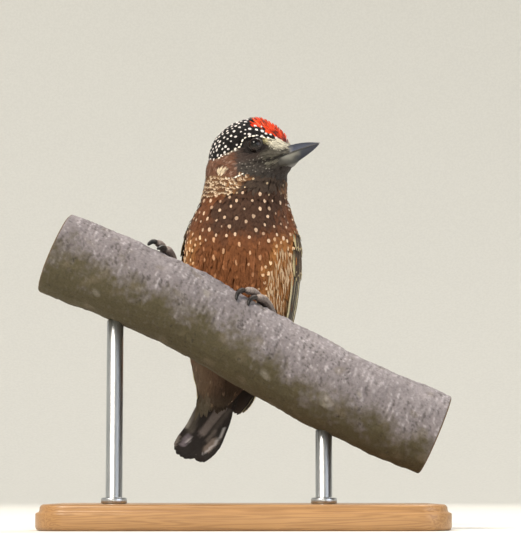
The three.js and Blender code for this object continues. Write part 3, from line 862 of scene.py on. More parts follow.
def body_tones(points, regions, wave, fine):
    """Rufous belly, dark middle of the breast, golden flanks, greyer vent with a painted shadow on the bird's
    left of it, and brown back and neck.
    """
    z, side = points[:, 2], round_marks(points)
    psi = np.abs(side)
    middle = np.interp(z, [70, 72, 77], [26, 38, 50])
    blotches = smooth(0.1, 1.4, ripples(points * (1, 1, 0.45), 1.6, 33))
    golden_blotches = smooth(0.2, 1.4, ripples(points * (1, 1, 0.5), 1.4, 34))
    neck = among(regions, "neck")
    return layered(
        np.broadcast_to(linear("#794a2b"), points.shape),
        ("#9d6541", 0.6 * blotches * smooth(72, 68, z)),
        ("#6f442b", smooth(66, 74, z + wave)),
        ("#463126", smooth(69, 75, z + 1.5 * wave)
         * smooth(middle + 16, middle - 14, psi + 8 * wave + 4 * fine)),
        ("#a26c3c", smooth(38, 54, psi + 6 * wave) * band(44, 71.5, 2, z + wave)),
        ("#7b5230", 0.6 * golden_blotches * smooth(40, 54, psi) * smooth(71, 67, z)),
        ("#5a483b", smooth(46, 39, z + wave)),
        ("#7c6854", 0.6 * smooth(44, 38, z) * smooth(10, -45, side)),
        # Painted shadow: the lower vent darkens towards the bird's left, beside the wing.
        ("#33281f", 0.85 * smooth(45, 38, z + wave) * smooth(-5, 45, side)),
        ("#453c33", 0.8 * smooth(33.5, 30.5, z)),
        ("#6c6355", smooth(33.0, 30.0, z) * band(-42, -12, 6, side)),
        ("#534033", smooth(84, 96, psi + 6 * wave)),
        ("#5d4a3d", among(regions, "thigh")),
        ("#453931", neck * smooth(50, 36, psi)),
        (mix("#53382a", "#86603f", 0.5 + 0.5 * fine), 0.9 * (neck * band(34, 118, 8, psi + 6 * fine))),
    )


def face_tones(points, wave, fine):
    """Grey face, rufous ear coverts with a cream spot behind, dark line of the gape and pale lores."""
    a, l, u = in_head(points)
    mottle = ripples(points, 1.0, 35) * smooth(-9.5, -11.0, a)
    streaks = ripples(np.stack([0.35 * a + 0.1 * u, l, u - 0.1 * a], -1), 0.55, 36)
    gape = near_line(GAPE_LINE, a, u + 0.15 * fine, 0.26)
    under_gape = near_line(GAPE_LINE, a, u + 0.75 + 0.2 * fine, 0.25)
    pale_lore = mix("#a99e6c", "#ddd7c3", smooth(-2.8, -1.2, a))
    return layered(
        mix("#493e3a", "#6f4d3c", smooth(-9.5, -11.5, a + 0.4 * wave)),
        ("#403b37", smooth(0.9, -0.4, u) * smooth(-10.5, -9, a)),
        ("#393330", smooth(-1.4, -2.6, u) * smooth(-5, -3.2, a)),
        ("#957a6c", 0.65 * smooth(0.3, 1.3, mottle)),
        ("#442d24", 0.6 * smooth(-0.4, -1.4, mottle)),
        ("#57534a", band(-4.4, 2, 0.6, a) * band(-2.6, 2.6, 0.8, u)),
        ("#332f2b", 0.6 * smooth(0.3, 1.3, streaks) * smooth(-10, -8.5, a)),
        ("#241e1d", smooth(3.4, 2.3, np.hypot((a - EYE[0]) * 0.85, u - EYE[2]))),
        ("#1c1816", 0.85 * gape * band(-7, 2, 0.5, a)),
        ("#8a8577", 0.5 * under_gape * band(-5, 2, 0.5, a)),
        ("#d9c8ae", smooth(1.35, 0.85, np.hypot(a + 14.5, (u + 0.3) * 1.1) + 0.2 * fine)),
        (mix(pale_lore, "#5a5549", 0.85 * smooth(0.1, 1.2, streaks)),
         smooth(0.3, -0.1, line_at(LORE_LINE, a) - u) * smooth(-3.0, -2.2, a)),
    )


def markings(points, rng):
    """The colour of the feathers at each point, with a little chance in it."""
    a, _, u = in_head(points)
    wave, fine = ripples(points, 4, 31), ripples(points, 1.2, 32)
    regions = region_of(points)
    head, cap = among(regions, "face", "cheek", "throat"), among(regions, "cap")
    edge = near_line(CAP_LINE, a, u, 0.13) * band(-15.2, -8.4, 0.4, a)
    red = layered(
        mix("#cc2c05", "#f54d10", rng.random(len(points))),
        ("#f27a52", 0.5 * (rng.random(len(points)) < 0.15)),
        ("#35100d", 0.8 * (rng.random(len(points)) < 0.09 + 0.25 * smooth(-3, 0, a))),
        ("#5e1a14", smooth(-0.3, 0.5, a + 0.2 * fine)),
    )
    tone = layered(
        body_tones(points, regions, wave, fine),
        (face_tones(points, wave, fine), head),
        ("#0f0d0e", cap),
        ("#978e82", 0.55 * edge * (cap | head)),
        (red, among(regions, "red")),
    )
    return tone * rng.uniform(0.88, 1.12, (len(points), 1))


# ------------------------------------------------------------------ the coat

# A body feather is a grid of points: stations along it and columns across it.
STATIONS = 7
ACROSS = np.array([-1, -0.74, -0.38, 0, 0.38, 0.74, 1])
COLUMNS = len(ACROSS)
ALONG = np.linspace(0, 1, STATIONS)
# The middle column, and the station that the next feathers leave bare.
SHAFT = COLUMNS // 2
SHOWN = 5
# Half width of a body feather from root to tip, as a share of its widest.
OUTLINE = (0.45, 0.72, 0.9, 1.0, 1.0, 0.86, 0.5)
# How far a shaded feather keeps its own slope rather than the coat's.
SOFTNESS = 0.45
# The size of a feather's patch on the map, and of the cells that the patches are set in.
PATCH = 0.003
CELL = 0.004


def lie(points, normals):
    """The way in which feathers lie: back from the bill over the head and then down the body."""
    z = points[:, 2]
    away = unit(points - head_point(2.5, 0, 0.8))
    down = np.array([0, 0, -1.0]) + 0.12 * unit((points - spine_at(z)) * (1, 1, 0))
    nape = -0.9 * UP - 0.35 * AHEAD
    share = smooth(-19, -8, in_head(points)[0]) * smooth(80, 86, z)
    way = layered(down, (nape, smooth(83, 91, z)), (away, share))
    # Feathers part round the eye.
    for side in SIDES.values():
        gap = points - head_point(EYE[0], side * EYE[1], EYE[2])
        flat = gap - dot(gap, LEFT)[:, None] * LEFT
        near = smooth(4.2, 2.2, np.linalg.norm(gap, axis=1))
        way = way + (0.9 * near)[:, None] * unit(flat)
    return square_to(way, normals)


def combed(surface, roots, lengths, rng, sway=0.10):
    """Places, normals and directions of centre lines that follow the lie of the coat from their roots."""
    place, normal = surface.nearest(roots)
    turn = rng.normal(0, sway, len(roots))[:, None]
    stations = []
    for i in range(STATIONS):
        fresh = lie(place, normal)
        fresh = unit(fresh + turn * np.cross(normal, fresh))
        way = fresh if i == 0 else unit(way + fresh)
        stations.append((place, normal, way))
        if i < STATIONS - 1:
            place, normal = surface.nearest(place + way * (lengths / (STATIONS - 1))[:, None])
    return tuple(np.stack(parts, 1) for parts in zip(*stations))


def vanes_along(line, width, height, outline, point, droop, rng, ragged=0.03, curve=9.0):
    """Grids of points of curved vanes round centre lines, and each point's place within its vane.

    The height above the surface runs station by station. A vane's edges fall back by point at the
    tip and hang by droop, all in millimetres, and bend round a body of twice the radius in curve.
    """
    place, normal, way = line
    n, stations = place.shape[:2]
    share = np.linspace(0, 1, stations)
    outline = np.interp(share, np.linspace(0, 1, len(outline)), outline)
    side = np.cross(normal, way)
    wobble = 1 + rng.normal(0, 0.04, (n, 1, COLUMNS))
    x = width[:, None, None] / 2 * outline[:, None] * ACROSS * wobble
    length = np.linalg.norm(np.diff(place, axis=1), axis=2).sum(1)
    split = rng.normal(0, ragged, (n, 1, COLUMNS)) * length[:, None, None]
    forward = (split - point[:, None, None] * ACROSS ** 2) * (share[:, None] ** (stations / 2))
    rise = height[:, :, None] - x ** 2 / (2 * curve) - droop[:, None, None] * ACROSS ** 2
    grid = place[:, :, None] + side[:, :, None] * x[..., None] + way[:, :, None] * forward[..., None]
    grid = grid + normal[:, :, None] * rise[..., None]
    y = np.broadcast_to(share[:, None] * length[:, None, None], x.shape)
    return grid, np.stack([x, y, np.broadcast_to(rng.random((n, 1, 1)), x.shape)], -1)


def free_cells(places):
    """A cell of a fine grid for each place on a map from 0 to 1, as near to it as is free."""
    low, high = places.min(0), places.max(0)
    flat = 0.02 + 0.96 * (places - low) / (high - low)
    wanted = np.round(flat / CELL).astype(int)
    limit = int(0.985 / CELL)
    taken, cells = set(), []
    shifts = [(i, j) for i in range(-24, 25) for j in range(-24, 25)]
    shifts.sort(key=lambda shift: shift[0] ** 2 + shift[1] ** 2)
    for i, j in wanted.tolist():
        for right, up in shifts:
            cell = (min(max(i + right, 4), limit), min(max(j + up, 4), limit))
            if cell not in taken:
                break
        taken.add(cell)
        cells.append(cell)
    return np.array(cells) * CELL


def unrolled(points):
    """A flat map of the bird's own shape: degrees round the body against height."""
    around = round_body(points)
    return np.stack([around / 360, points[:, 2] / 90], -1)


class Coat:
    """Vanes and domes gathered piece by piece until each piece becomes one mesh."""

    def __init__(self):
        self.parts = {}

    def add(self, name, points, tones, vanes, normals, faces, roots, corners):
        """Repeats of one shape: points (n, k, 3), its faces, and each point's corner of its patch."""
        self.parts.setdefault(name, []).append((points, tones, vanes, normals, faces, roots, corners))

    def add_grids(self, name, grid, tones, vane, normals, roots):
        """Vanes as grids of points, with a tone for each point and a normal for each station."""
        shape = (len(grid), -1, 3)
        self.add(name, grid.reshape(shape), tones.reshape(shape), vane.reshape(shape),
                 np.repeat(normals, COLUMNS, axis=1), vane_faces(), roots, VANE_CORNERS)

    def add_vanes(self, name, grid, vane, tones, normals, roots):
        """Vanes of one tone each, paler at the edges and darker at the root, the root's darkening being
        painted shade under the feathers that overlap it.
        """
        shade = 0.8 + 0.22 * smooth(0.2, 0.75, ALONG)[:, None] + 0.05 * ACROSS ** 2
        self.add_grids(name, grid, tones[:, None, None] * shade[..., None], vane, normals, roots)

    def build(self, material):
        for name, parts in self.parts.items():
            cells = free_cells(unrolled(np.concatenate([part[5] for part in parts])))
            flat = [[], [], [], [], []]
            faces = {}
            start = first = 0
            for shape, tone, vane, normal, groups, _, corner in parts:
                n, k = shape.shape[:2]
                patches = cells[first : first + n, None] + corner * PATCH
                normal = np.broadcast_to(normal, shape.shape)
                for row, values in zip(flat, (shape, tone, vane, normal, patches)):
                    row.append(values.reshape(-1, values.shape[-1]))
                shift = start + k * np.arange(n)[:, None, None]
                for group in groups:
                    corners = group.shape[1]
                    faces.setdefault(corners, []).append((group[None] + shift).reshape(-1, corners))
                start += n * k
                first += n
            faces = [np.concatenate(groups) for groups in faces.values()]
            points, tones, vanes, ways, maps = (np.concatenate(row) for row in flat)
            made = feathered(name, points, faces, tones, vanes, ways, [maps[group] for group in faces])
            piece(name, made, material)


def soften(mesh, points, faces, ways):
    """Shades the faces that look outward by the coat's own ways out, and the others flat."""
    mesh.shade_smooth()
    corners = []
    for group in faces:
        at = points[group]
        across = np.cross(at[:, 2] - at[:, 0], at[:, -1] - at[:, 1])
        across = unit(across if group.shape[1] > 3 else np.cross(at[:, 1] - at[:, 0], at[:, 2] - at[:, 0]))
        way = ways[group]
        soft = dot(across[:, None], way) > 0.15
        turned_out = unit(way + SOFTNESS * across[:, None])
        corners.append(np.where(soft[..., None], turned_out, across[:, None]).reshape(-1, 3))
    mesh.normals_split_custom_set(np.concatenate(corners).tolist())


def feathered(name, points, faces, tones, vanes, ways, maps):
    """A mesh of feathers with its tones, places within vanes, and map.

    Its shading turns most of the way towards the coat's own ways out, so that thin edges stay soft.
    """
    mesh = mesh_of(name, points, faces)
    paint(mesh, tones)
    soften(mesh, points, faces, ways)
    layer = mesh.attributes.new("vane", "FLOAT_VECTOR", "POINT")
    layer.data.foreach_set("vector", vanes.ravel().astype(np.float32))
    uv = mesh.uv_layers.new(name="OFBake")
    uv.data.foreach_set("uv", np.concatenate([one.ravel() for one in maps]).astype(np.float32))
    return mesh


def vane_faces():
    """A vane's top grid, its underside from edge to edge, and the ends of root and tip."""
    top = grid_faces(STATIONS, COLUMNS)[:, ::-1]
    first = np.arange(STATIONS - 1) * COLUMNS
    last = first + COLUMNS - 1
    under = np.stack([last, last + COLUMNS, first + COLUMNS, first], 1)
    root = np.arange(COLUMNS)
    tip = np.arange(COLUMNS)[::-1] + (STATIONS - 1) * COLUMNS
    return [top, under, np.stack([root, tip])]


# Each point of a vane's grid on its patch of the map.
VANE_CORNERS = np.stack(np.meshgrid(ACROSS / 2, ALONG - 0.5), -1).reshape(-1, 2)
DOME_SIDES = 10


def add_domes(coat, name, middle, way, normal, size, tones, roots):
    """Small pale feather ends that lie like flat drops on the vanes.

    Each one's size is its half length, half width and rise.
    """
    turn = circle(DOME_SIDES)
    side = np.cross(normal, way)
    points = [middle + normal * size[:, 2:3]]
    for reach, fall in ((0.62, 0.15), (1.0, 1.0)):
        y = reach * np.cos(turn) * (1 + 0.12 * np.cos(turn))
        x = reach * np.sin(turn)
        rise = size[:, 2] * (1 - fall) - 0.05 * fall
        ring = (middle[:, None] + way[:, None] * (size[:, :1] * y)[..., None]
                + side[:, None] * (size[:, 1:2] * x)[..., None])
        sink = (size[:, :1] * y) ** 2 / 22 + (size[:, 1:2] * x) ** 2 / 18
        points.append(ring + normal[:, None] * (rise[:, None] - sink)[..., None])
    grid = np.concatenate([points[0][:, None]] + points[1:], 1)
    inner = 1 + np.arange(DOME_SIDES)
    outer_ring = inner + DOME_SIDES
    fan = np.stack([np.zeros(DOME_SIDES, int), inner, np.roll(inner, -1)], 1)
    belt = np.stack([inner, outer_ring, np.roll(outer_ring, -1), np.roll(inner, -1)], 1)
    floor = outer_ring[None, ::-1]
    round_patch = np.stack([np.sin(turn), np.cos(turn)], -1)
    corners = np.concatenate([[[0, 0]], 0.3 * round_patch, 0.5 * round_patch])
    n, k = grid.shape[:2]
    tone = np.broadcast_to(tones[:, None], (n, k, 3))
    vane = np.zeros((n, k, 3))
    vane[..., 0] = 0.3
    coat.add(name, grid, tone, vane, normal[:, None], [fan, belt, floor], roots, corners)


# Pale spots: region, spacing, half length, half width, rise and share of the feathers that may bear one.
SPOTS = {
    "cap": (1.08, 0.42, 0.34, 0.11, 1.0),
    "breast": (2.0, 0.52, 0.42, 0.09, 1.0),
    "flank": (1.55, 0.56, 0.46, 0.10, 1.0),
    "belly": (2.5, 0.75, 0.40, 0.07, 0.6),
    "neck": (1.6, 0.34, 0.26, 0.08, 0.6),
    "back": (2.9, 0.42, 0.32, 0.09, 0.8),
    "throat": (0.66, 0.22, 0.16, 0.07, 0.9),
    "thigh": (1.8, 0.45, 0.3, 0.07, 0.7),
    "vent": (2.8, 0.7, 0.3, 0.06, 0.4),
}
# How faint the faintest spots of a region are.
FAINT = {"cap": 0.75, "breast": 0.45, "flank": 0.4, "belly": 0.15, "neck": 0.3, "back": 0.6,
         "throat": 0.3, "thigh": 0.3, "vent": 0.2}
# The spots' colours where they differ from those of the breast.
SPOT_CODES = {"cap": "#ddd8d8", "flank": "#e6c8a2", "neck": "#d9bf9b", "back": "#e6dcc8",
              "throat": "#857f78", "vent": "#7d6a58"}
# Dashes above the eye, in a line behind it and below the ear: distances ahead and up on the head, half
# length and half width.
DASHES = (
    (((-7.5, 4.7), (-6.9, 5.4), (-6.2, 5.9), (-5.3, 6.1), (-4.5, 6.0), (-3.8, 5.8), (-3.1, 5.4), (-2.5, 5.0)),
     0.42, 0.22),
    (((-8.2, 4.0), (-9.2, 4.0), (-10.3, 3.75), (-11.3, 3.65), (-12.3, 3.6), (-13.3, 3.55), (-14.3, 3.5)),
     0.38, 0.22),
    (((-9.2, -2.6), (-10.0, -2.85), (-10.8, -3.0), (-11.6, -3.0), (-12.4, -2.85), (-13.2, -2.6)),
     0.42, 0.2),
)


def spot_tones(points, rng):
    """The colour of a pale spot at each point."""
    regions = region_of(points)
    tone = np.broadcast_to(linear("#cbb097"), points.shape)
    belly = mix("#96633d", "#c39a78", smooth(58, 66, points[:, 2]))
    tone = layered(tone, (belly, among(regions, "belly")),
                   *((code, among(regions, name)) for name, code in SPOT_CODES.items()))
    return tone * rng.uniform(0.85, 1.1, (len(points), 1))


# Further to the side than any of the head is.
BESIDE = 14.0


def beside_head(surface, side, ahead, up):
    """Where lines across the head, from one side or from each place's own, meet a surface."""
    side = np.broadcast_to(side, ahead.shape)
    return surface.seen_from(head_point(ahead, side * BESIDE, up), -side[:, None] * LEFT)


def add_collar(coat, surface):
    """Rows of scale-like feathers with pale ends across the sides of the neck."""
    rng = np.random.default_rng(16)
    heights, turns = np.array(TWIST).T
    psi = np.arange(40, 120, 5.2)
    roots = []
    for row, level in enumerate(np.arange(83.4, 89.2, 0.68)):
        for side in SIDES.values():
            z = level + 0.3 * np.sin(psi / 7 + 2.1 * row) + 0.1 * rng.normal(size=len(psi))
            at = psi + 2.6 * (row % 2) + rng.normal(0, 0.7, len(psi))
            turn = np.radians(side * at + np.interp(z, heights, turns))[:, None]
            out = np.cos(turn) * BODY_FRONT + np.sin(turn) * BODY_LEFT
            roots.append(surface.nearest(surface.seen_from(spine_at(z) + 30 * out, -out))[0])
    roots = np.concatenate(roots)
    a, _, u = in_head(roots - (0, 0, 1.1))
    roots = roots[(u < line_at(JAW_LINE, a)) & (rng.random(len(roots)) < 0.9)]
    n = len(roots)
    line = combed(surface, roots, rng.uniform(1.3, 1.6, n), rng)
    width = rng.uniform(1.0, 1.5, n)
    height = -0.35 * (1 - ALONG) ** 2 + 0.16 + np.zeros((n, 1))
    grid, vane = vanes_along(line, width, height, OUTLINE, 0.22 * width, 0.05 * width, rng, 0.04)
    end = smooth(0.64, 0.8, ALONG)[:, None, None] * np.ones((COLUMNS, 1))
    dark = mix("#4b3325", "#7c5a3e", rng.random(n))
    pale = mix("#a08162", "#ecd8bd", rng.random(n) ** 0.8)
    tone = dark[:, None, None] * (1 - end) + pale[:, None, None] * end
    coat.add_grids("coat_neck", grid, tone, vane, line[1], line[0][:, 0])


def add_dashes(coat, surface):
    """White dashes along lines on both sides of the head."""
    rng = np.random.default_rng(15)
    for places, long, wide in DASHES:
        a, u = np.array(places).T
        for side in SIDES.values():
            spots = beside_head(surface, side, a, u)
            middle, out = surface.nearest(spots + rng.normal(0, 0.08, spots.shape))
            ahead = square_to(np.gradient(middle, axis=0), out)
            size = np.array([long, wide, 0.12]) * rng.uniform(0.8, 1.15, (len(a), 1))
            tone = linear("#e9e4da") * rng.uniform(0.8, 1.05, (len(a), 1))
            add_domes(coat, "coat_face", middle, ahead, out, size, tone, middle)


class WingSheet:
    """The outside of a CAD wing, by height and by share of the way from its front edge to its back."""

    REACH = 35.0

    def __init__(self, side):
        self.sign = SIDES[side]
        points, faces = node(f"wing_{side}")
        tree = BVHTree.FromPolygons(points.tolist(), faces.tolist())
        turns = np.arange(64.0, 184.0)
        rows = []
        for z in np.arange(points[:, 2].min() + 0.7, points[:, 2].max() - 0.7, 0.7):
            middle = spine_at(z)
            out = self.out(turns)
            hits = [tree.ray_cast(Vector(middle + self.REACH * one), Vector(-one), self.REACH)[3]
                    for one in out]
            reach = np.array([self.REACH - hit if hit is not None else np.nan for hit in hits])
            inside = np.flatnonzero(~np.isnan(reach))
            if len(inside) < 8:
                continue
            low, high = turns[inside[0]], turns[inside[-1]]
            at = low + (high - low) * np.linspace(0.05, 0.95, 21)
            rows.append((z, low, high, np.interp(at, turns[inside], reach[inside])))
        self.levels, self.low, self.high = (np.array([row[i] for row in rows]) for i in range(3))
        self.reach = np.array([row[3] for row in rows])
        for _ in range(3):
            for values in (self.low, self.high, self.reach, self.reach.T):
                values[1:-1] = (values[:-2] + 2 * values[1:-1] + values[2:]) / 4

    def out(self, turns):
        turns = np.radians(turns)[..., None]
        return np.cos(turns) * BODY_FRONT + self.sign * np.sin(turns) * BODY_LEFT

    def edges(self, z):
        return np.interp(z, self.levels, self.low), np.interp(z, self.levels, self.high)

    def place(self, z, share):
        low, high = self.edges(z)
        row = np.interp(z, self.levels, np.arange(len(self.levels)))
        column = np.clip((share - 0.05) / 0.9, 0, 1) * 20
        i, j = np.minimum(row.astype(int), len(self.levels) - 2), np.minimum(column.astype(int), 19)
        s, t = row - i, column - j
        reach = (self.reach[i, j] * (1 - t) + self.reach[i, j + 1] * t) * (1 - s)
        reach += (self.reach[i + 1, j] * (1 - t) + self.reach[i + 1, j + 1] * t) * s
        return spine_at(z) + self.out(low + (high - low) * share) * reach[..., None]

    def lines(self, roots, tips, stations=STATIONS, power=1.0):
        """Centre lines from roots to tips, each given as a height and a share; power bends them late."""
        t = np.linspace(0, 1, stations)
        z = roots[:, :1] * (1 - t) + tips[:, :1] * t
        share = roots[:, 1:] + (tips[:, 1:] - roots[:, 1:]) * t ** power
        place = self.place(z, share)
        normal = unit(np.cross(self.place(z, share + 0.02) - self.place(z, share - 0.02),
                               self.place(z + 0.4, share) - self.place(z - 0.4, share)))
        normal *= np.sign(dot(normal, place - spine_at(z)))[..., None]
        return place, normal, square_to(np.gradient(place, axis=1), normal)

    def front(self, z):
        """The share of the way back at which the wing comes out from under the breast's feathers."""
        low, high = self.edges(z)
        return 0.9 * covered(z) / np.maximum(high - low, 30)

    def holds(self, points, margin):
        """Which points lie on the wing, further back than a margin in degrees from its front edge."""
        low, high = self.edges(points[:, 2])
        around = self.sign * round_body(points)
        inside = (points[:, 2] > self.levels[0] - 1) & (points[:, 2] < self.levels[-1] + 0.5)
        return inside & (around > low + margin) & (around < high + 3)


# The height at which the feathers of the vent give way to the tail.
VENT_END = 30.2


def bare(points):
    """Places without feathers: round the eyes and where the bill and the gape are."""
    a, l, u = in_head(points)
    near_eye = np.hypot(a - EYE[0], u - EYE[2]) < 1.95
    gape = (a > -0.8) & (u < line_at(BILL_CUT, a) + 0.15) & (u > line_at(BILL_KEEL, a) + 0.45)
    return (near_eye & (np.abs(l) > 3)) | (gape & (np.abs(l) > 1.0)) | (a > 0.9)


# How many places on the coat are tried for its feathers.
CANDIDATES = 300000


def places_of_feathers(surface, body, sheets, rng):
    """Where feathers stand, the coat's normals there and how far across the tail each place is."""
    points, normals = surface.sprinkled(CANDIDATES, rng)
    keep = thinned(points, SIZES[region_of(points), 2], rng)
    points, normals = points[keep], normals[keep]
    off_body = np.linalg.norm(points - body.nearest(points)[0], axis=1) > 0.3
    on_wing = np.zeros(len(points), bool)
    for sheet in sheets.values():
        on_wing |= sheet.holds(points, covered(points[:, 2]) - 0.5)
    _, tail_top, tail_middle = mid_box("tail")
    middle, _, across = tail_frame()[:3]
    aside = (points - middle) @ across
    on_tail = (points[:, 2] < tail_top[2] + 1) & (np.abs(points[:, 0] - tail_middle[0]) < 8) & off_body
    wedge = 3.0 * smooth(1.5, 0.3, np.abs(aside + 2.5))
    near_root = on_tail & (points[:, 2] > tail_top[2] + 0.6 - wedge + 0.5 * ripples(points, 2.5, 50))
    near_root &= (aside > -3.3) & (aside < 5.5)
    keep = ~bare(points) & ~(on_wing & (off_body | (points[:, 2] > 54)))
    keep &= ~(off_body & (points[:, 2] < 50)) | near_root
    return points[keep], normals[keep], aside[keep]


def add_spots(coat, grid, normals, roots, tones, plain, rng):
    """Pale domes on some of the feathers that aren't plain; where they stand out, the vane darkens."""
    shown = grid[:, SHOWN, SHAFT]
    region, marks, high = region_of(shown), round_marks(shown), shown[:, 2]
    for name, (gap, long, wide, rise, share) in SPOTS.items():
        mine = np.flatnonzero(among(region, name) & (rng.random(len(shown)) < share) & ~plain)
        mine = mine[thinned(shown[mine], np.full(len(mine), gap), rng)]
        ahead = unit(grid[mine, SHOWN + 1, SHAFT] - grid[mine, SHOWN - 1, SHAFT])
        out = unit(np.cross(ahead, grid[mine, SHOWN, SHAFT + 1] - grid[mine, SHOWN, SHAFT - 1]))
        out *= np.sign(dot(out, normals[mine]))[:, None]
        scale = rng.uniform(0.62, 1.25, (len(mine), 1))
        # The spots in front of the right flank, above the branch, are the largest.
        scale *= 1 + 0.3 * (band(-76, -40, 5, marks[mine]) * band(57, 69, 2, high[mine]))[:, None]
        size = np.hstack([scale, scale * rng.uniform(0.85, 1.1, scale.shape), np.ones_like(scale)])
        size = size * (long, wide, rise)
        pale = mix(1.3 * tones[mine], spot_tones(shown[mine], rng), rng.uniform(FAINT[name], 1, len(mine)))
        add_domes(coat, REGIONS[name][5], shown[mine], ahead, out, size, pale, roots[mine])
        if name in ("breast", "flank", "back"):
            tones[mine] *= 0.65


def add_streaks(coat, line, height, shown, roots, streaked, rng):
    """Long pale streaks over the feathers of the hind flanks."""
    mine = np.flatnonzero(streaked)
    mine = mine[thinned(shown[mine], np.full(len(mine), 0.8), rng)]
    line = tuple(part[mine] for part in line)
    width = rng.uniform(0.45, 1.0, len(mine))
    grid, vane = vanes_along(line, width, height[mine] + 0.10, (0.2, 0.6, 1.0, 1.0, 0.85, 0.6, 0.3),
                             np.full(len(mine), 0.2), np.full(len(mine), 0.02), rng)
    pale = mix("#a97d53", "#dfc4a2", rng.random(len(mine)) ** 1.1)
    coat.add_vanes("coat_flanks", grid, vane, pale, line[1], roots[mine])


def add_coat(coat, surface, body, sheets):
    """The feathers of head, neck and trunk, with their spots and streaks."""
    rng = np.random.default_rng(11)
    points, normals, aside = places_of_feathers(surface, body, sheets, rng)
    region = region_of(points)
    long, wide, _, depth, rise = SIZES[region].T
    chance = rng.uniform(0.85, 1.15, (2, len(points)))
    # Feathers of the vent end at the tail's root, but for a few long ones in a wedge.
    room = np.clip((points[:, 2] - VENT_END) / (0.85 * long), 0.3, 1)
    chance[0] *= np.where(among(region, "vent") & (np.abs(aside + 2.5) > 1.2), room, 1)
    line = combed(surface, points, long * chance[0], rng)
    lift = rise * rng.uniform(-0.3, 1.6, len(points))
    crest = smooth(-5.5, -2, in_head(points)[0])
    lift += 0.45 * rng.random(len(points)) * among(region, "red") * crest
    height = -depth[:, None] * (1 - ALONG) ** 2.2 + lift[:, None] * ALONG ** 2 + 0.02
    width = wide * chance[1]
    grid, vane = vanes_along(line, width, height, OUTLINE, 0.12 * long, 0.04 * width, rng)
    # The colour is that of the place where the tip shows.
    shown = grid[:, SHOWN, SHAFT]
    tones = markings(shown, rng)
    shown_region = region_of(shown)
    neck, throat = among(shown_region, "neck"), among(shown_region, "throat")
    marks = round_marks(shown)
    psi = np.abs(marks)
    a, _, u = in_head(shown)
    streaked = among(shown_region, "flank") & (psi > np.where(marks > 0, 52, 72)) & (shown[:, 2] < 67.5)
    plain = neck & (band(28, 122, 3, psi) < 0.5) & (rng.random(len(points)) < 0.85)
    plain |= throat & ((a > -3.4) | (u < -3.4))
    plain |= streaked | (neck & (band(34, 122, 3, psi) > 0.5))
    tones[streaked] *= 0.92
    add_spots(coat, grid, normals, points, tones, plain, rng)
    add_streaks(coat, line, height, shown, points, streaked, rng)
    for name in dict.fromkeys(REGIONS[one][5] for one in NAMES):
        mine = among(region, *(one for one in NAMES if REGIONS[one][5] == name))
        coat.add_vanes(name, grid[mine], vane[mine], tones[mine], line[1][mine], points[mine])


# ------------------------------------------------------------------ wings and tail

# Stations of a flight or tail feather, and half widths from root to tip as shares of the widest.
QUILL_STATIONS = 22
QUILL_OUTLINE = (0.4, 0.8, 0.95, 1.0, 1.0, 1.0, 0.96, 0.7)
TAIL_OUTLINE = (0.6, 0.84, 0.95, 1.0, 1.0, 1.0, 0.93, 0.62)


def quill_faces():
    """The two grids of a flat feather and the rim that joins them."""
    count = QUILL_STATIONS * COLUMNS
    top = grid_faces(QUILL_STATIONS, COLUMNS)
    cell = np.arange(count).reshape(QUILL_STATIONS, COLUMNS)
    rim = np.concatenate([cell[0], cell[1:, -1], cell[-1, -2::-1], cell[-2:0:-1, 0]])
    after = np.roll(rim, -1)
    return top[:, ::-1], top + count, np.stack([rim, after, after + count, rim + count], 1)


def add_quills(name, line, width, height, outline, point, tones, rng, replaces=(), droop=0.1, curve=14.0):
    """Long feathers with a face on both sides, few enough for each to have strips of the map to itself."""
    n = len(width)
    grid, vane = vanes_along(line, width, height, outline, point, droop * np.ones(n), rng, 0.004, curve)
    thick = 0.025 + 0.10 * (1 - ACROSS ** 2)
    under = grid - line[1][:, :, None] * thick[:, None]

    def flat(top, below):
        return np.concatenate([top.reshape(n, -1, 3), below.reshape(n, -1, 3)], 1).reshape(-1, 3)

    ways = np.repeat(line[1], COLUMNS, axis=1)
    quads = np.vstack(quill_faces())
    shift = 2 * QUILL_STATIONS * COLUMNS * np.arange(n)[:, None, None]
    faces = [(quads[None] + shift).reshape(-1, 4)]
    share = np.repeat(np.linspace(0.02, 0.98, QUILL_STATIONS), COLUMNS)
    x = np.tile((ACROSS + 1) * 0.22, QUILL_STATIONS)
    local = np.concatenate([np.stack([x + 0.01, share], -1), np.stack([x + 0.51, share], -1)])[quads]
    local = np.broadcast_to(local, (n, *local.shape)).copy()
    local[..., 0] = 0.02 + 0.96 / n * (local[..., 0] + np.arange(n)[:, None, None])
    mesh = feathered(name, flat(grid, under), faces, flat(tones, tones), flat(vane, vane),
                     flat(ways, -ways), [local])
    piece(name, mesh, quill_material, replaces)


def quill_tones(base, fringe, outer, rng):
    """Tones of quills with a paler edge on one side, outer being -1 for the first column."""
    edge = smooth(0.4, 0.85, ACROSS * outer)[None, None, :] * np.ones((len(base), QUILL_STATIONS, 1))
    tone = mix(base[:, None, None], fringe[:, None, None], 0.85 * edge)
    return tone * rng.uniform(0.9, 1.1, (len(base), 1, 1, 1))


# The tips of sixteen flight feathers, from the front edge: height and share of the way back. The left wing
# droops.
WING_TIPS = {
    "left": ((30.4, -0.75), (29.5, -0.65), (28.8, -0.55), (28.2, -0.35), (27.9, 0.05), (27.9, 0.6),
             (28.5, 1.15), (28.9, 1.6), (29.8, 1.85), (32, 1.8), (35.5, 1.5), (39.5, 1.2), (44, 1.0),
             (48.5, 0.94), (52.5, 0.94), (57, 0.95)),
    "right": ((37, 0.2), (34, 0.24), (31.8, 0.28), (30.4, 0.36), (29.6, 0.46), (29.4, 0.6), (29.8, 0.76),
              (32.5, 0.82), (35.5, 0.84), (38.5, 0.85), (41, 0.87), (43.5, 0.88), (45.5, 0.9), (48.5, 0.92),
              (52.5, 0.94), (57, 0.95)),
}
PRIMARIES = 7
# How late the flight feathers bend towards their tips.
WING_BEND = {"left": 2.6, "right": 1.3}


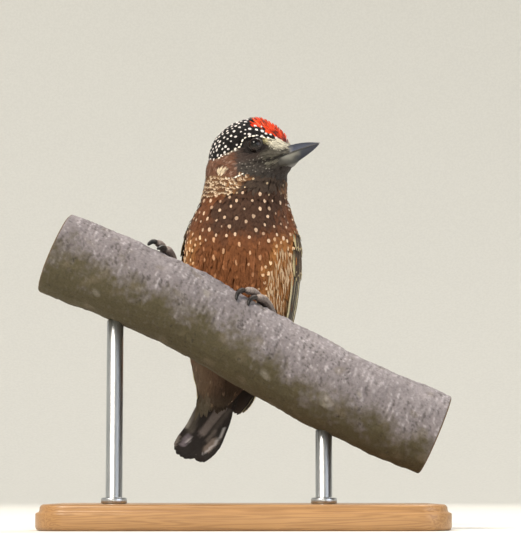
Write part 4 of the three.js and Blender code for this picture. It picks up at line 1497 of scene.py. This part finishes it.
def covered(z):
    """How many degrees of the wing's front, at each height, the breast's feathers cover."""
    return 20 * smooth(73.5, 82.5, z)


# The rows of coverts: heights of tips and roots, number, width and rise.
COVERTS = ((61.5, 71, 13, 3.4, -0.22), (68.2, 75.5, 12, 3.0, -0.14), (72.2, 78, 12, 2.6, -0.08),
           (75.0, 80, 10, 2.3, -0.04), (77.4, 81.6, 8, 2.0, 0.0), (79.6, 82.8, 6, 1.8, 0.03))
SLAB_ROWS, SLAB_COLUMNS = 60, 18


def add_wing_base(side, sheet):
    """A thin dark slab inside the feathers, from front edge to back edge and from shoulder to tip."""
    z, share = np.meshgrid(np.linspace(sheet.levels[0] + 1, sheet.levels[-1] - 2.5, SLAB_ROWS),
                           np.linspace(0.0, 0.92, SLAB_COLUMNS), indexing="ij")
    front = sheet.front(z)
    place = sheet.place(z, front + (1 - front) * share)
    out = unit(place - spine_at(z))
    arches = [np.sin(np.linspace(0, math.pi, count)) ** 0.4 for count in (SLAB_ROWS, SLAB_COLUMNS)]
    inner = place - (1.0 + 0.35 * np.outer(*arches))[..., None] * out
    slab = np.concatenate([place - 0.95 * out, inner[:, ::-1]], 1)[:, :: sheet.sign]
    mesh = mesh_of(f"wing_{side}_base", *tube(slab))
    paint(mesh, np.broadcast_to(linear("#3a2e27"), slab.shape))
    skin = painted_material(f"wing_{side}_skin", 0.4, 0.05, 0.8)
    piece(f"wing_{side}_base", mesh, skin, [f"wing_{side}"])


def add_flight_feathers(side, sheet, rng):
    """Flight feathers, numbered from the front edge: seven primaries, six secondaries, three tertials."""
    tips = np.array(WING_TIPS[side])
    number = np.arange(len(tips))
    primary = (number < PRIMARIES)[:, None]
    roots = np.stack([np.full(len(tips), 67.0), 0.03 + 0.95 * (number + 0.5) / len(tips)], 1)
    height = -0.62 + 0.03 * number[:, None] + 0.12 * np.linspace(0, 1, QUILL_STATIONS)
    width = np.where(primary[:, 0], 3.2, 3.8)
    base = linear("#44372e") * np.where(primary, 0.5, 1.0)
    fringe = np.where(primary, linear("#ddd0a6"), linear("#b09c78"))
    tones = quill_tones(base, fringe, -sheet.sign, rng)
    line = sheet.lines(roots, tips, QUILL_STATIONS, WING_BEND[side])
    point = np.full(len(tips), 1.3)
    add_quills(f"wing_{side}_quills", line, width, height, QUILL_OUTLINE, point, tones, rng)


def add_coverts(side, sheet, coat, rng):
    """Rows that grow smaller towards the shoulder, each feather with a pale edge and a spot at its tip."""
    name = f"wing_{side}_coverts"
    for low, high, count, wide, rise in COVERTS:
        share = (np.arange(count) + 0.5) / count + rng.normal(0, 0.012, count)
        jitter = rng.normal(0, 0.45, count)
        high = min(high, sheet.levels[-1] - 0.4)
        ends = [np.stack([at, sheet.front(at) + (1 - sheet.front(at)) * share], 1)
                for at in (np.full(count, high), low + jitter)]
        line = sheet.lines(*ends)
        height = rise - 0.45 * (1 - ALONG) ** 1.5 + 0.025 * (np.arange(count) % 2)[:, None]
        wide = wide * rng.uniform(0.92, 1.08, count)
        grid, vane = vanes_along(line, wide, height, OUTLINE, 0.25 * wide, 0.06 * wide, rng, 0.01, 11)
        tone = linear("#5b4738") * rng.uniform(0.85, 1.1, (count, 1))
        foremost = (np.arange(count) < count / 3)[:, None, None]
        tone[: count // 3] *= 0.6
        edge = np.where(foremost, smooth(0.38, 0.74, ACROSS * -sheet.sign), smooth(0.5, 0.95, np.abs(ACROSS)))
        shade = mix(tone[:, None, None], "#d5c698", 0.85 * edge * smooth(0.2, 0.7, ALONG)[:, None])
        coat.add_grids(name, grid, shade, vane, line[1], line[0][:, 0])
        size = np.array([0.36, 0.28, 0.08]) * rng.uniform(0.7, 1.15, (count, 1))
        tone = linear("#c9b48e") * rng.uniform(0.6, 1.1, (count, 1))
        add_domes(coat, name, grid[:, SHOWN, SHAFT], line[2][:, SHOWN], line[1][:, SHOWN], size, tone,
                  line[0][:, 0])


def add_wing(side, sheet, coat):
    """A wing: its base slab, its flight feathers and its coverts."""
    rng = np.random.default_rng(40 + sheet.sign)
    add_wing_base(side, sheet)
    add_flight_feathers(side, sheet, rng)
    add_coverts(side, sheet, coat, rng)


def bends(x, y):
    """The terms that a gently curved sheet's height is made of."""
    return np.stack([np.ones_like(x), x, y, x * x, x * y, y * y], 1)


def tail_frame():
    """The tail's middle, its axes along, across and outward, a smooth sheet through it and its root."""
    points = node("tail")[0]
    middle = points.mean(0)
    axes = np.linalg.eigh(np.cov((points - middle).T))[1]
    along, across, out = axes[:, 2], axes[:, 1], axes[:, 0]
    along = along * -np.sign(along[2])
    across = across * np.sign(across[0])
    out = out * np.sign(out[1])
    x, y, height = (points - middle) @ across, (points - middle) @ along, (points - middle) @ out
    weights = np.linalg.lstsq(bends(x, y), height, rcond=None)[0]
    return middle, along, across, out, weights, y.min()


# Where each tail feather ends, from the bird's right to its left: across and along the tail.
TAIL_TIPS = ((-5.3, 8.6), (-4.9, 9.4), (-4.1, 10.0), (-2.9, 10.3), (-1.9, 10.3), (-0.8, 9.9),
             (1.3, 9.8), (2.1, 9.9), (2.8, 9.7), (3.4, 9.0), (3.9, 8.2), (4.2, 7.2))


def near_path(path, x, y, half, soft):
    """How near places are to a path of straight parts: one within half of it, fading to nought over soft."""
    path = np.array(path, float)
    gap = np.full(x.shape, 1e9)
    for start, end in zip(path[:-1], path[1:]):
        way = end - start
        t = np.clip(((x - start[0]) * way[0] + (y - start[1]) * way[1]) / (way @ way), 0, 1)
        gap = np.minimum(gap, np.hypot(x - start[0] - t * way[0], y - start[1] - t * way[1]))
    return smooth(half + soft, half, gap)


# The tail's marks seen from below: path across and along the tail, half width, softness, tone and strength.
TAIL_MARKS = (
    (((-3.0, -6), (-3.0, 3.0)), 0.8, 0.5, "#5a544e", 0.9),
    (((-4.1, -6), (-4.0, 0), (-4.1, 3.4)), 0.25, 0.35, "#9a958d", 0.9),
    (((2.9, -6), (0.2, 2.4)), 0.65, 0.6, "#7d7370", 0.95),
    (((4.6, -5), (2.6, 1.5)), 0.35, 0.5, "#524a47", 0.8),
    (((3.0, 1.5), (2.0, 4.0)), 0.3, 0.45, "#6b625d", 0.8),
    (((3.9, 4.0), (2.6, 6.4)), 0.75, 0.5, "#877a72", 0.9),
    (((5.0, -0.2), (4.75, 2.6), (4.0, 5.0), (2.3, 7.4)), 0.15, 0.22, "#c2bfc1", 0.9),
    (((-2.9, 5.2), (-3.3, 7.0)), 0.5, 0.5, "#857c84", 0.85),
    (((-2.2, 4.6), (-2.5, 6.2)), 0.1, 0.2, "#cdc9cc", 0.7),
    (((-5.6, 6.9), (-5.5, 8.6)), 0.35, 0.45, "#9a9189", 0.8),
)


def add_tail():
    """Twelve tail feathers, the middle pair uppermost and the outer ones nearest the ground."""
    rng = np.random.default_rng(60)
    middle, along, across, out, weights, start = tail_frame()
    tips = np.array(TAIL_TIPS)
    count = len(tips)
    number = np.arange(count)
    q = np.linspace(-1, 1, count)
    t = np.linspace(0, 1, QUILL_STATIONS)
    roots = np.linspace(-2.3, 4.5, count)[:, None]
    y = (start + 0.6) * (1 - t) + tips[:, 1:] * t
    x = roots + (tips[:, :1] - roots) * t ** np.where(number < count / 2, 3.6, 1.3)[:, None]
    height = weights @ bends(x, y)
    sheet = middle + across * x[..., None] + along * y[..., None] + out * height[..., None]
    slope = weights[1] + 2 * weights[3] * x + weights[4] * y
    normal = unit(out - slope[..., None] * across)
    way = square_to(np.gradient(sheet, axis=1), normal)
    rise = (0.42 - 0.84 * np.abs(q))[:, None] * (0.8 + 0.2 * t) + 0.03 * np.sign(q)[:, None]
    width = 3.5 - 0.3 * np.abs(q)
    share = t[:, None] * np.ones(COLUMNS)
    at = x[..., None] - width[:, None, None] / 2 * ACROSS
    down = y[..., None] + 0 * at
    marks = [(code, strength * near_path(path, at, down, half, soft))
             for path, half, soft, code, strength in TAIL_MARKS]
    tone = layered(np.broadcast_to(linear("#2a2524"), (*at.shape, 3)), *marks,
                   ("#1d1918", 0.7 * smooth(8.2, 9.6, down) * smooth(5.2, 4.6, np.abs(at))))
    # The middle pair, uppermost, has white inner webs.
    for k in (count // 2 - 1, count // 2):
        inner = ACROSS * np.sign(q[k])
        tone[k] = mix("#2a2524", "#d8cfc4", smooth(0.2, 0.5, inner) * smooth(0.9, 0.8, share))
    add_quills("tail_quills", (sheet, normal, way), width, rise, TAIL_OUTLINE, np.ones(count), tone, rng,
               ["tail"], 0.05, 40.0)


# ------------------------------------------------------------------ bill, eyes and feet

# The bill's measures along its length, ahead of its base: half width, ridge, cutting edge and lower line.
BILL_WIDTH = ((-2.6, 3.5), (-1.5, 3.5), (-0.5, 3.2), (0.3, 2.85), (0.9, 2.52), (1.5, 2.2), (2.2, 1.96),
              (3, 1.76), (4, 1.52), (5, 1.3), (6, 1.07), (7, 0.82), (8, 0.55), (9, 0.24), (9.75, 0.02))
BILL_RIDGE = ((-2.6, 1.7), (0.5, 2.1), (1.5, 2.1), (3, 1.93), (4.5, 1.58), (6, 1.12), (7, 0.76), (8, 0.34),
              (9, -0.1), (9.75, -0.44))
BILL_CUT = ((-2.6, -1.45), (-1.6, -1.1), (-0.6, -0.8), (0.5, -0.6), (1.5, -0.48), (3, -0.42), (6, -0.44),
            (8, -0.46), (9.75, -0.5))
BILL_KEEL = ((-2.6, -2.85), (-1, -3.0), (0.5, -2.95), (1.5, -2.82), (3, -2.52), (5, -2.1), (7, -1.62),
             (8.2, -1.22), (9.3, -0.72))


def half_bill(name, start, end, upper):
    """One half of the bill, lofted from inside the face to its tip."""
    a = start + (end - start) * (1 - (1 - np.linspace(0, 1, 90)) ** 1.6)
    width, cut = line_at(BILL_WIDTH, a), line_at(BILL_CUT, a)
    far = line_at(BILL_RIDGE if upper else BILL_KEEL, a)
    if not upper:
        width = width * 0.97 * smooth(end + 0.02, end - 0.9, a) ** 0.5
    cut = cut + (0.05 if upper else -0.05)
    turn = np.linspace(0, math.pi, 27)
    power = np.interp(a, [0.0, 2.6], [4.5, 1.5])[:, None]
    aside = width[:, None] * np.cos(turn)
    outward = 1 - np.abs(np.cos(turn)) ** power
    high = cut[:, None] + (far - cut)[:, None] * outward
    # A shallow furrow runs along each side of the upper half.
    furrow = np.exp(-((outward - 0.55) / 0.12) ** 2) * smooth(0.5, 2, a)[:, None] * smooth(7.5, 4, a)[:, None]
    aside = aside * (1 - 0.05 * furrow * upper)
    # The face towards the other half is slightly hollow.
    roof = np.linspace(-1, 1, 9)[1:-1]
    inner_aside = width[:, None] * 0.97 * roof
    inner_high = cut[:, None] + (far - cut)[:, None] * 0.12 * (1 - roof ** 2)
    aside, high = np.concatenate([aside, inner_aside], 1), np.concatenate([high, inner_high], 1)
    share = np.concatenate([outward, np.zeros_like(inner_high)], 1)
    where = a[:, None] + 0 * share
    points = head_point(where, aside, high)
    # The lower half's rings run the other way round, so its faces are turned.
    flat, faces = tube(points)
    mesh = mesh_of(name, flat, faces if upper else [group[:, ::-1] for group in faces])
    grain = 0.3 * ripples(points, 1.5, 71)
    if upper:
        tone = layered(
            mix("#2d3447", "#1e2331", smooth(0.35, 0.95, share + 0.2 * grain)),
            ("#6d6c64", smooth(3.0, 0.2, where + grain) * smooth(0.85, 0.25, share)),
            ("#1e2434", smooth(5.0, 8.0, where + grain)),
        )
    else:
        # Painted shade: the lower half darkens towards its keel on the underside, and at its rear where it
        # meets the face. Its dark blue tip is its own colour, carried back along the keel as painted shade.
        tone = layered(
            mix("#7a7971", "#403f3b", smooth(0.18, 0.7, share + 0.2 * grain)),
            ("#38352f", smooth(1.2, -0.9, where + grain)),
            ("#262b3a", smooth(3.0, 5.6, where + grain + 1.8 * share)),
        )
    paint(mesh, mix(tone, "#1d1b19", smooth(0.12, 0.02, share) * (1 if upper else 0.8)))
    return mesh


def add_bill():
    """Two halves of horn, one over each of the CAD's."""
    horn = painted_material("horn", 0.35, 0.02, 0.42, 0.07, Specular_IOR_Level=0.45, Coat_Weight=0.1,
                            Coat_Roughness=0.3)
    for half, start, end in (("upper", -2.0, 9.75), ("lower", -2.3, 9.3)):
        mesh = half_bill(f"bill_{half}_horn", start, end, half == "upper")
        piece(f"bill_{half}_horn", mesh, horn, [f"bill_{half}"])


EYE_SIDES = 64


def eye_axes(side):
    axis = unit(0.42 * AHEAD + SIDES[side] * 0.9 * LEFT + 0.04 * UP)
    across = square_to(AHEAD, axis)
    return axis, across, np.cross(axis, across)


def turned(side, radius, height, stretch=1.0):
    """Rings of points round an eye's axis at some radii and heights."""
    axis, across, upward = eye_axes(side)
    turn = circle(EYE_SIDES)
    rim = np.cos(turn)[:, None] * across + np.sin(turn)[:, None] * upward
    radius = radius[:, None] * np.broadcast_to(stretch, turn.shape)
    return eyes[side] + radius[..., None] * rim + height[:, None, None] * axis


def eyeball(side):
    """A ball with a slight swelling over the iris, dark brown round a black pupil."""
    angle = np.concatenate([np.linspace(0.0, 1.1, 40)[1:], np.linspace(1.1, math.pi, 24)[1:-1]])
    height = EYE_RADIUS * np.cos(angle) + 0.10 * smooth(0.55, 0.0, angle)
    rings = turned(side, EYE_RADIUS * np.sin(angle), height)
    axis = eye_axes(side)[0]
    poles = [eyes[side] + axis * (EYE_RADIUS + 0.1), eyes[side] - axis * EYE_RADIUS]
    points = np.concatenate([rings.reshape(-1, 3), poles])
    count = len(points) - 2
    first, last = np.arange(EYE_SIDES), np.arange(count - EYE_SIDES, count)
    caps = [np.stack([np.full(EYE_SIDES, count), first, np.roll(first, -1)], 1),
            np.stack([np.full(EYE_SIDES, count + 1), np.roll(last, -1), last], 1)]
    sides = grid_faces(len(angle), EYE_SIDES, True)[:, ::-1]
    mesh = mesh_of(f"eyeball_{side}", points, [sides, *caps])
    turn, angle = circle(EYE_SIDES), angle[:, None] + 0 * circle(EYE_SIDES)
    streak = 0.5 + 0.5 * np.sin(turn * 46 + 3 * np.sin(turn * 7))
    tone = layered(
        mix("#17100c", "#261913", streak * smooth(0.42, 0.62, angle)),
        ("#050404", smooth(0.44, 0.4, angle)),
        ("#15100d", smooth(0.78, 0.86, angle)),
    )
    paint(mesh, np.concatenate([tone.reshape(-1, 3), [linear("#050404"), linear("#15100d")]]))
    return mesh


def eyelids(side):
    """A granular ring of bare skin round a slightly oval opening, which lies close on the eye."""
    turn = circle(EYE_SIDES)
    share = np.linspace(0, 1, 14)
    opening = 1 - 0.22 * np.sin(turn) ** 2 + 0.08 * np.cos(turn) ** 2
    reach = 1.42 + 0.9 * share
    over = np.sqrt(np.maximum((EYE_RADIUS + 0.05) ** 2 - np.minimum(reach, 1.95) ** 2, 0.1))
    inner_fold, outer_fold = (np.sin(math.pi * np.clip((share - start) / long, 0, 1))
                              for start, long in ((0, 0.3), (0.4, 0.35)))
    fold = 0.05 * inner_fold + 0.04 * outer_fold
    lift = over + fold + 0.04 - 0.35 * smooth(0.4, 1, share)
    rings = np.concatenate([turned(side, reach, lift, opening),
                            turned(side, reach[::-1], lift[::-1] - 0.25, opening)])
    loop = np.arange(EYE_SIDES)
    after = np.roll(loop, -1)
    last = (len(rings) - 1) * EYE_SIDES
    join = np.stack([last + loop, last + after, after, loop], 1)
    quads = np.concatenate([grid_faces(len(rings), EYE_SIDES, True), join])[:, ::-1]
    mesh = mesh_of(f"eyelids_{side}", rings.reshape(-1, 3), [quads])
    share = share[:, None] + 0 * turn
    tone = mix("#141010", "#2e2827", band(0.1, 0.3, 0.08, share))
    tone = mix(tone, "#1d1817", smooth(0.4, 0.7, share))
    paint(mesh, np.concatenate([tone, tone[::-1]]))
    return mesh


def add_eyes():
    """Eyeballs and, round them, the bare skin of the lids."""
    made = Nodes("eye_gloss", Specular_IOR_Level=0.25, Coat_Weight=0.15, Coat_Roughness=0.03)
    globe = made.finish(made.attribute("tone"), made.ramp(made.noise(0.6), 0, 1, 0.06, 0.1))
    rim_skin = painted_material("eye_rim", 0.14, 0.05, 0.5, 0.2, Specular_IOR_Level=0.4)
    for side in SIDES:
        piece(f"eyeball_{side}", eyeball(side), globe, [f"eye_{side}"])
        piece(f"eyelids_{side}", eyelids(side), rim_skin)


def add_tufts(coat, surface):
    """Stiff cream tufts that point forward from the lores over the bill's base."""
    rng = np.random.default_rng(80)
    count = 260
    side = rng.choice([-1, 1], count)
    a, u = rng.uniform(-2.0, 0.6, count), rng.uniform(0.6, 3.6, count)
    u = u - 0.35 * (a + 1)
    roots = beside_head(surface, side, a, u)
    keep = ~np.isnan(roots[:, 0])
    roots, side, u = roots[keep], side[keep], u[keep]
    place, normal = surface.nearest(roots)
    n = len(roots)
    length = rng.uniform(1.4, 2.4, n)
    way = unit(AHEAD - 0.28 * UP + 0.12 * rng.normal(size=(n, 3)))
    way = unit(way - 0.8 * dot(way, normal)[:, None] * normal)
    t = ALONG[:, None]
    line = place[:, None] + way[:, None] * length[:, None, None] * t
    close, out = (part.reshape(line.shape) for part in surface.nearest(line.reshape(-1, 3)))
    line = line * t + close * (1 - t)
    above = dot(line - close, out)
    line = line + out * np.maximum(0.12 * ALONG - above, 0)[..., None]
    ahead = unit(np.gradient(line, axis=1))
    out = square_to(out, ahead)
    width = rng.uniform(0.28, 0.45, n)
    height = np.broadcast_to(-0.2 * (1 - ALONG) ** 2, (n, STATIONS))
    grid, vane = vanes_along((line, out, ahead), width, height, (0.7, 1, 1, 0.9, 0.75, 0.5, 0.2),
                             0.1 * width, 0.1 * width, rng, 0.0, 3)
    tones = mix("#ddd8c6", "#66625a", smooth(2.2, 1.2, u)) * rng.uniform(0.4, 1.15, (n, 1))
    coat.add_vanes("coat_face", grid, vane, tones, out, place)


FOOT_PARTS = ("tarsus", "toe_1", "toe_2", "toe_3", "toe_4")
# How much the skin swells each part of a foot and the horn each claw.
FOOT_SWELL = {"tarsus": 0.1, "toe": 0.42}
CLAW_SWELL = 0.16
# How far apart the scutes' edges are.
SCUTE_PITCH = 0.62


def along_skin(points, quads, starts):
    """How far every point lies from the nearest start, over the surface."""
    a, b = quads.ravel(), np.roll(quads, -1, axis=1).ravel()
    lengths = np.linalg.norm(points[a] - points[b], axis=1)
    order = np.argsort(a, kind="stable")
    first = np.searchsorted(a[order], np.arange(len(points) + 1))
    b, lengths = b[order].tolist(), lengths[order].tolist()
    far = [1e9] * len(points)
    queue = [(0.0, int(i)) for i in starts]
    for _, i in queue:
        far[i] = 0.0
    heapq.heapify(queue)
    while queue:
        gone, i = heapq.heappop(queue)
        if gone > far[i]:
            continue
        for k in range(first[i], first[i + 1]):
            j, total = b[k], gone + lengths[k]
            if total < far[j]:
                far[j] = total
                heapq.heappush(queue, (total, j))
    return np.array(far)


def add_foot(side, claws, skin):
    """Tarsus and toes under one skin, with cross scutes on the upper side and fine grains below."""
    names = [f"{part}_{side}" for part in FOOT_PARTS]
    points, quads = fused([node(name, FOOT_SWELL[name.split("_")[0]]) for name in names], 0.15, 3)
    normals = normals_of(points, [quads])
    tree = tree_of(points)
    ends = [min(tree.find(point)[:0:-1] for point in claw)[1] for claw, _ in claws]
    far = along_skin(points, quads, ends)
    upper = smooth(-0.3, 0.4, normals[:, 2] - 0.3 * normals[:, 1])
    ridge = np.abs(((far + 0.12 * ripples(points, 1.5, 90)) / SCUTE_PITCH) % 1 - 0.5) * 2
    groove = smooth(0.78, 1.0, ridge)
    grains = ripples(points, 0.35, 91, 40)
    relief = -0.10 * groove * (0.35 + 0.65 * upper) + 0.02 * grains * (1 - 0.6 * upper)
    points = points + normals * relief[:, None]
    mesh = mesh_of(f"foot_{side}", points, [quads])
    tone = layered(
        mix("#675b56", "#968a84", upper * (1 - groove)),
        ("#2e2725", 0.85 * groove),
        ("#544843", smooth(1.2, 0.2, far)),
    )
    paint(mesh, tone * (1 + 0.1 * ripples(points, 1.2, 92)[:, None]))
    piece(f"foot_{side}", mesh, skin, names)


def add_feet():
    """Both feet and their claws."""
    skin = painted_material("leg_scutes", 0.18, 0.03, 0.5, 0.14, Specular_IOR_Level=0.35)
    horn = painted_material("claw_horn_dark", 0.25, 0.02, 0.4, 0.1, Specular_IOR_Level=0.35)
    for side in SIDES:
        names = [f"claw_{toe}_{side}" for toe in range(1, 5)]
        claws = [node(name) for name in names]
        add_foot(side, claws, skin)
        points, quads = fused([node(name, CLAW_SWELL) for name in names], 0.11, 3)
        mesh = mesh_of(f"claws_{side}", points, [quads])
        paint(mesh, mix("#100e0d", "#2b2523", smooth(1.6, 3.0, from_tips(points, claws))))
        piece(f"claws_{side}", mesh, horn, names)


def from_tips(points, claws):
    """Distance from the nearest claw's sharp end, which is its point furthest from its own middle."""
    gaps = []
    for claw, _ in claws:
        middle = claw.mean(0)
        sharp = claw[np.linalg.norm(claw - middle, axis=1).argmax()]
        gaps.append(np.linalg.norm(points - sharp, axis=1))
    return np.min(gaps, axis=0)


BODY_NODES = ("head", "neck", "trunk", "thigh_left", "thigh_right")


def closed_surface(*names):
    """One smooth surface round some CAD nodes and the eyes, at the nodes' own size."""
    solids = [node(name, CAD_GAP) for name in names]
    solids += [node(f"eye_{side}", CAD_GAP) for side in SIDES]
    points, quads = fused(solids, 0.42, 8)
    return Surface(points - CAD_GAP * normals_of(points, [quads]), quads)


def add_skin(body):
    """The skin, which lies inside the coat by its depth and carries the same markings."""
    depth = SIZES[region_of(body.points), 3]
    depth = relaxed(np.repeat(depth[:, None], 3, 1), body.quads, 6)
    inner = relaxed(body.points - body.normals * (depth + 0.1), body.quads, 2)
    mesh = mesh_of("skin", inner, [body.quads])
    paint(mesh, 0.75 * markings(body.points, np.random.default_rng(3)))
    material = painted_material("feathered_skin", 0.3, 0.08, 0.75, Specular_IOR_Level=0.2)
    piece("skin", mesh, material, BODY_NODES)


def write_sizes():
    """Turns the CAD model's box and the visual model's box into plain lists, which are then dropped."""
    def plain(value):
        return [plain(one) for one in value] if hasattr(value, "__len__") else float(value)
    {"cad": plain(CAD_BOX), "visual": plain(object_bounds())}


add_camera()
add_lamps()
add_stage()
add_base()
add_rods()
add_perch()
quill_material = feather_material("quills", 0.04, 0.3, 0.05)
sheets = {side: WingSheet(side) for side in SIDES}
body = closed_surface(*BODY_NODES)
draped = closed_surface(*BODY_NODES, "wing_left", "wing_right", "tail")
add_skin(body)
coat = Coat()
add_coat(coat, draped, body, sheets)
add_collar(coat, draped)
add_dashes(coat, body)
add_tufts(coat, body)
for side, sheet in sheets.items():
    add_wing(side, sheet, coat)
coat.build(feather_material("feathers", 0.03, 0.15, 0.03))
add_tail()
add_bill()
add_eyes()
add_feet()
write_sizes()
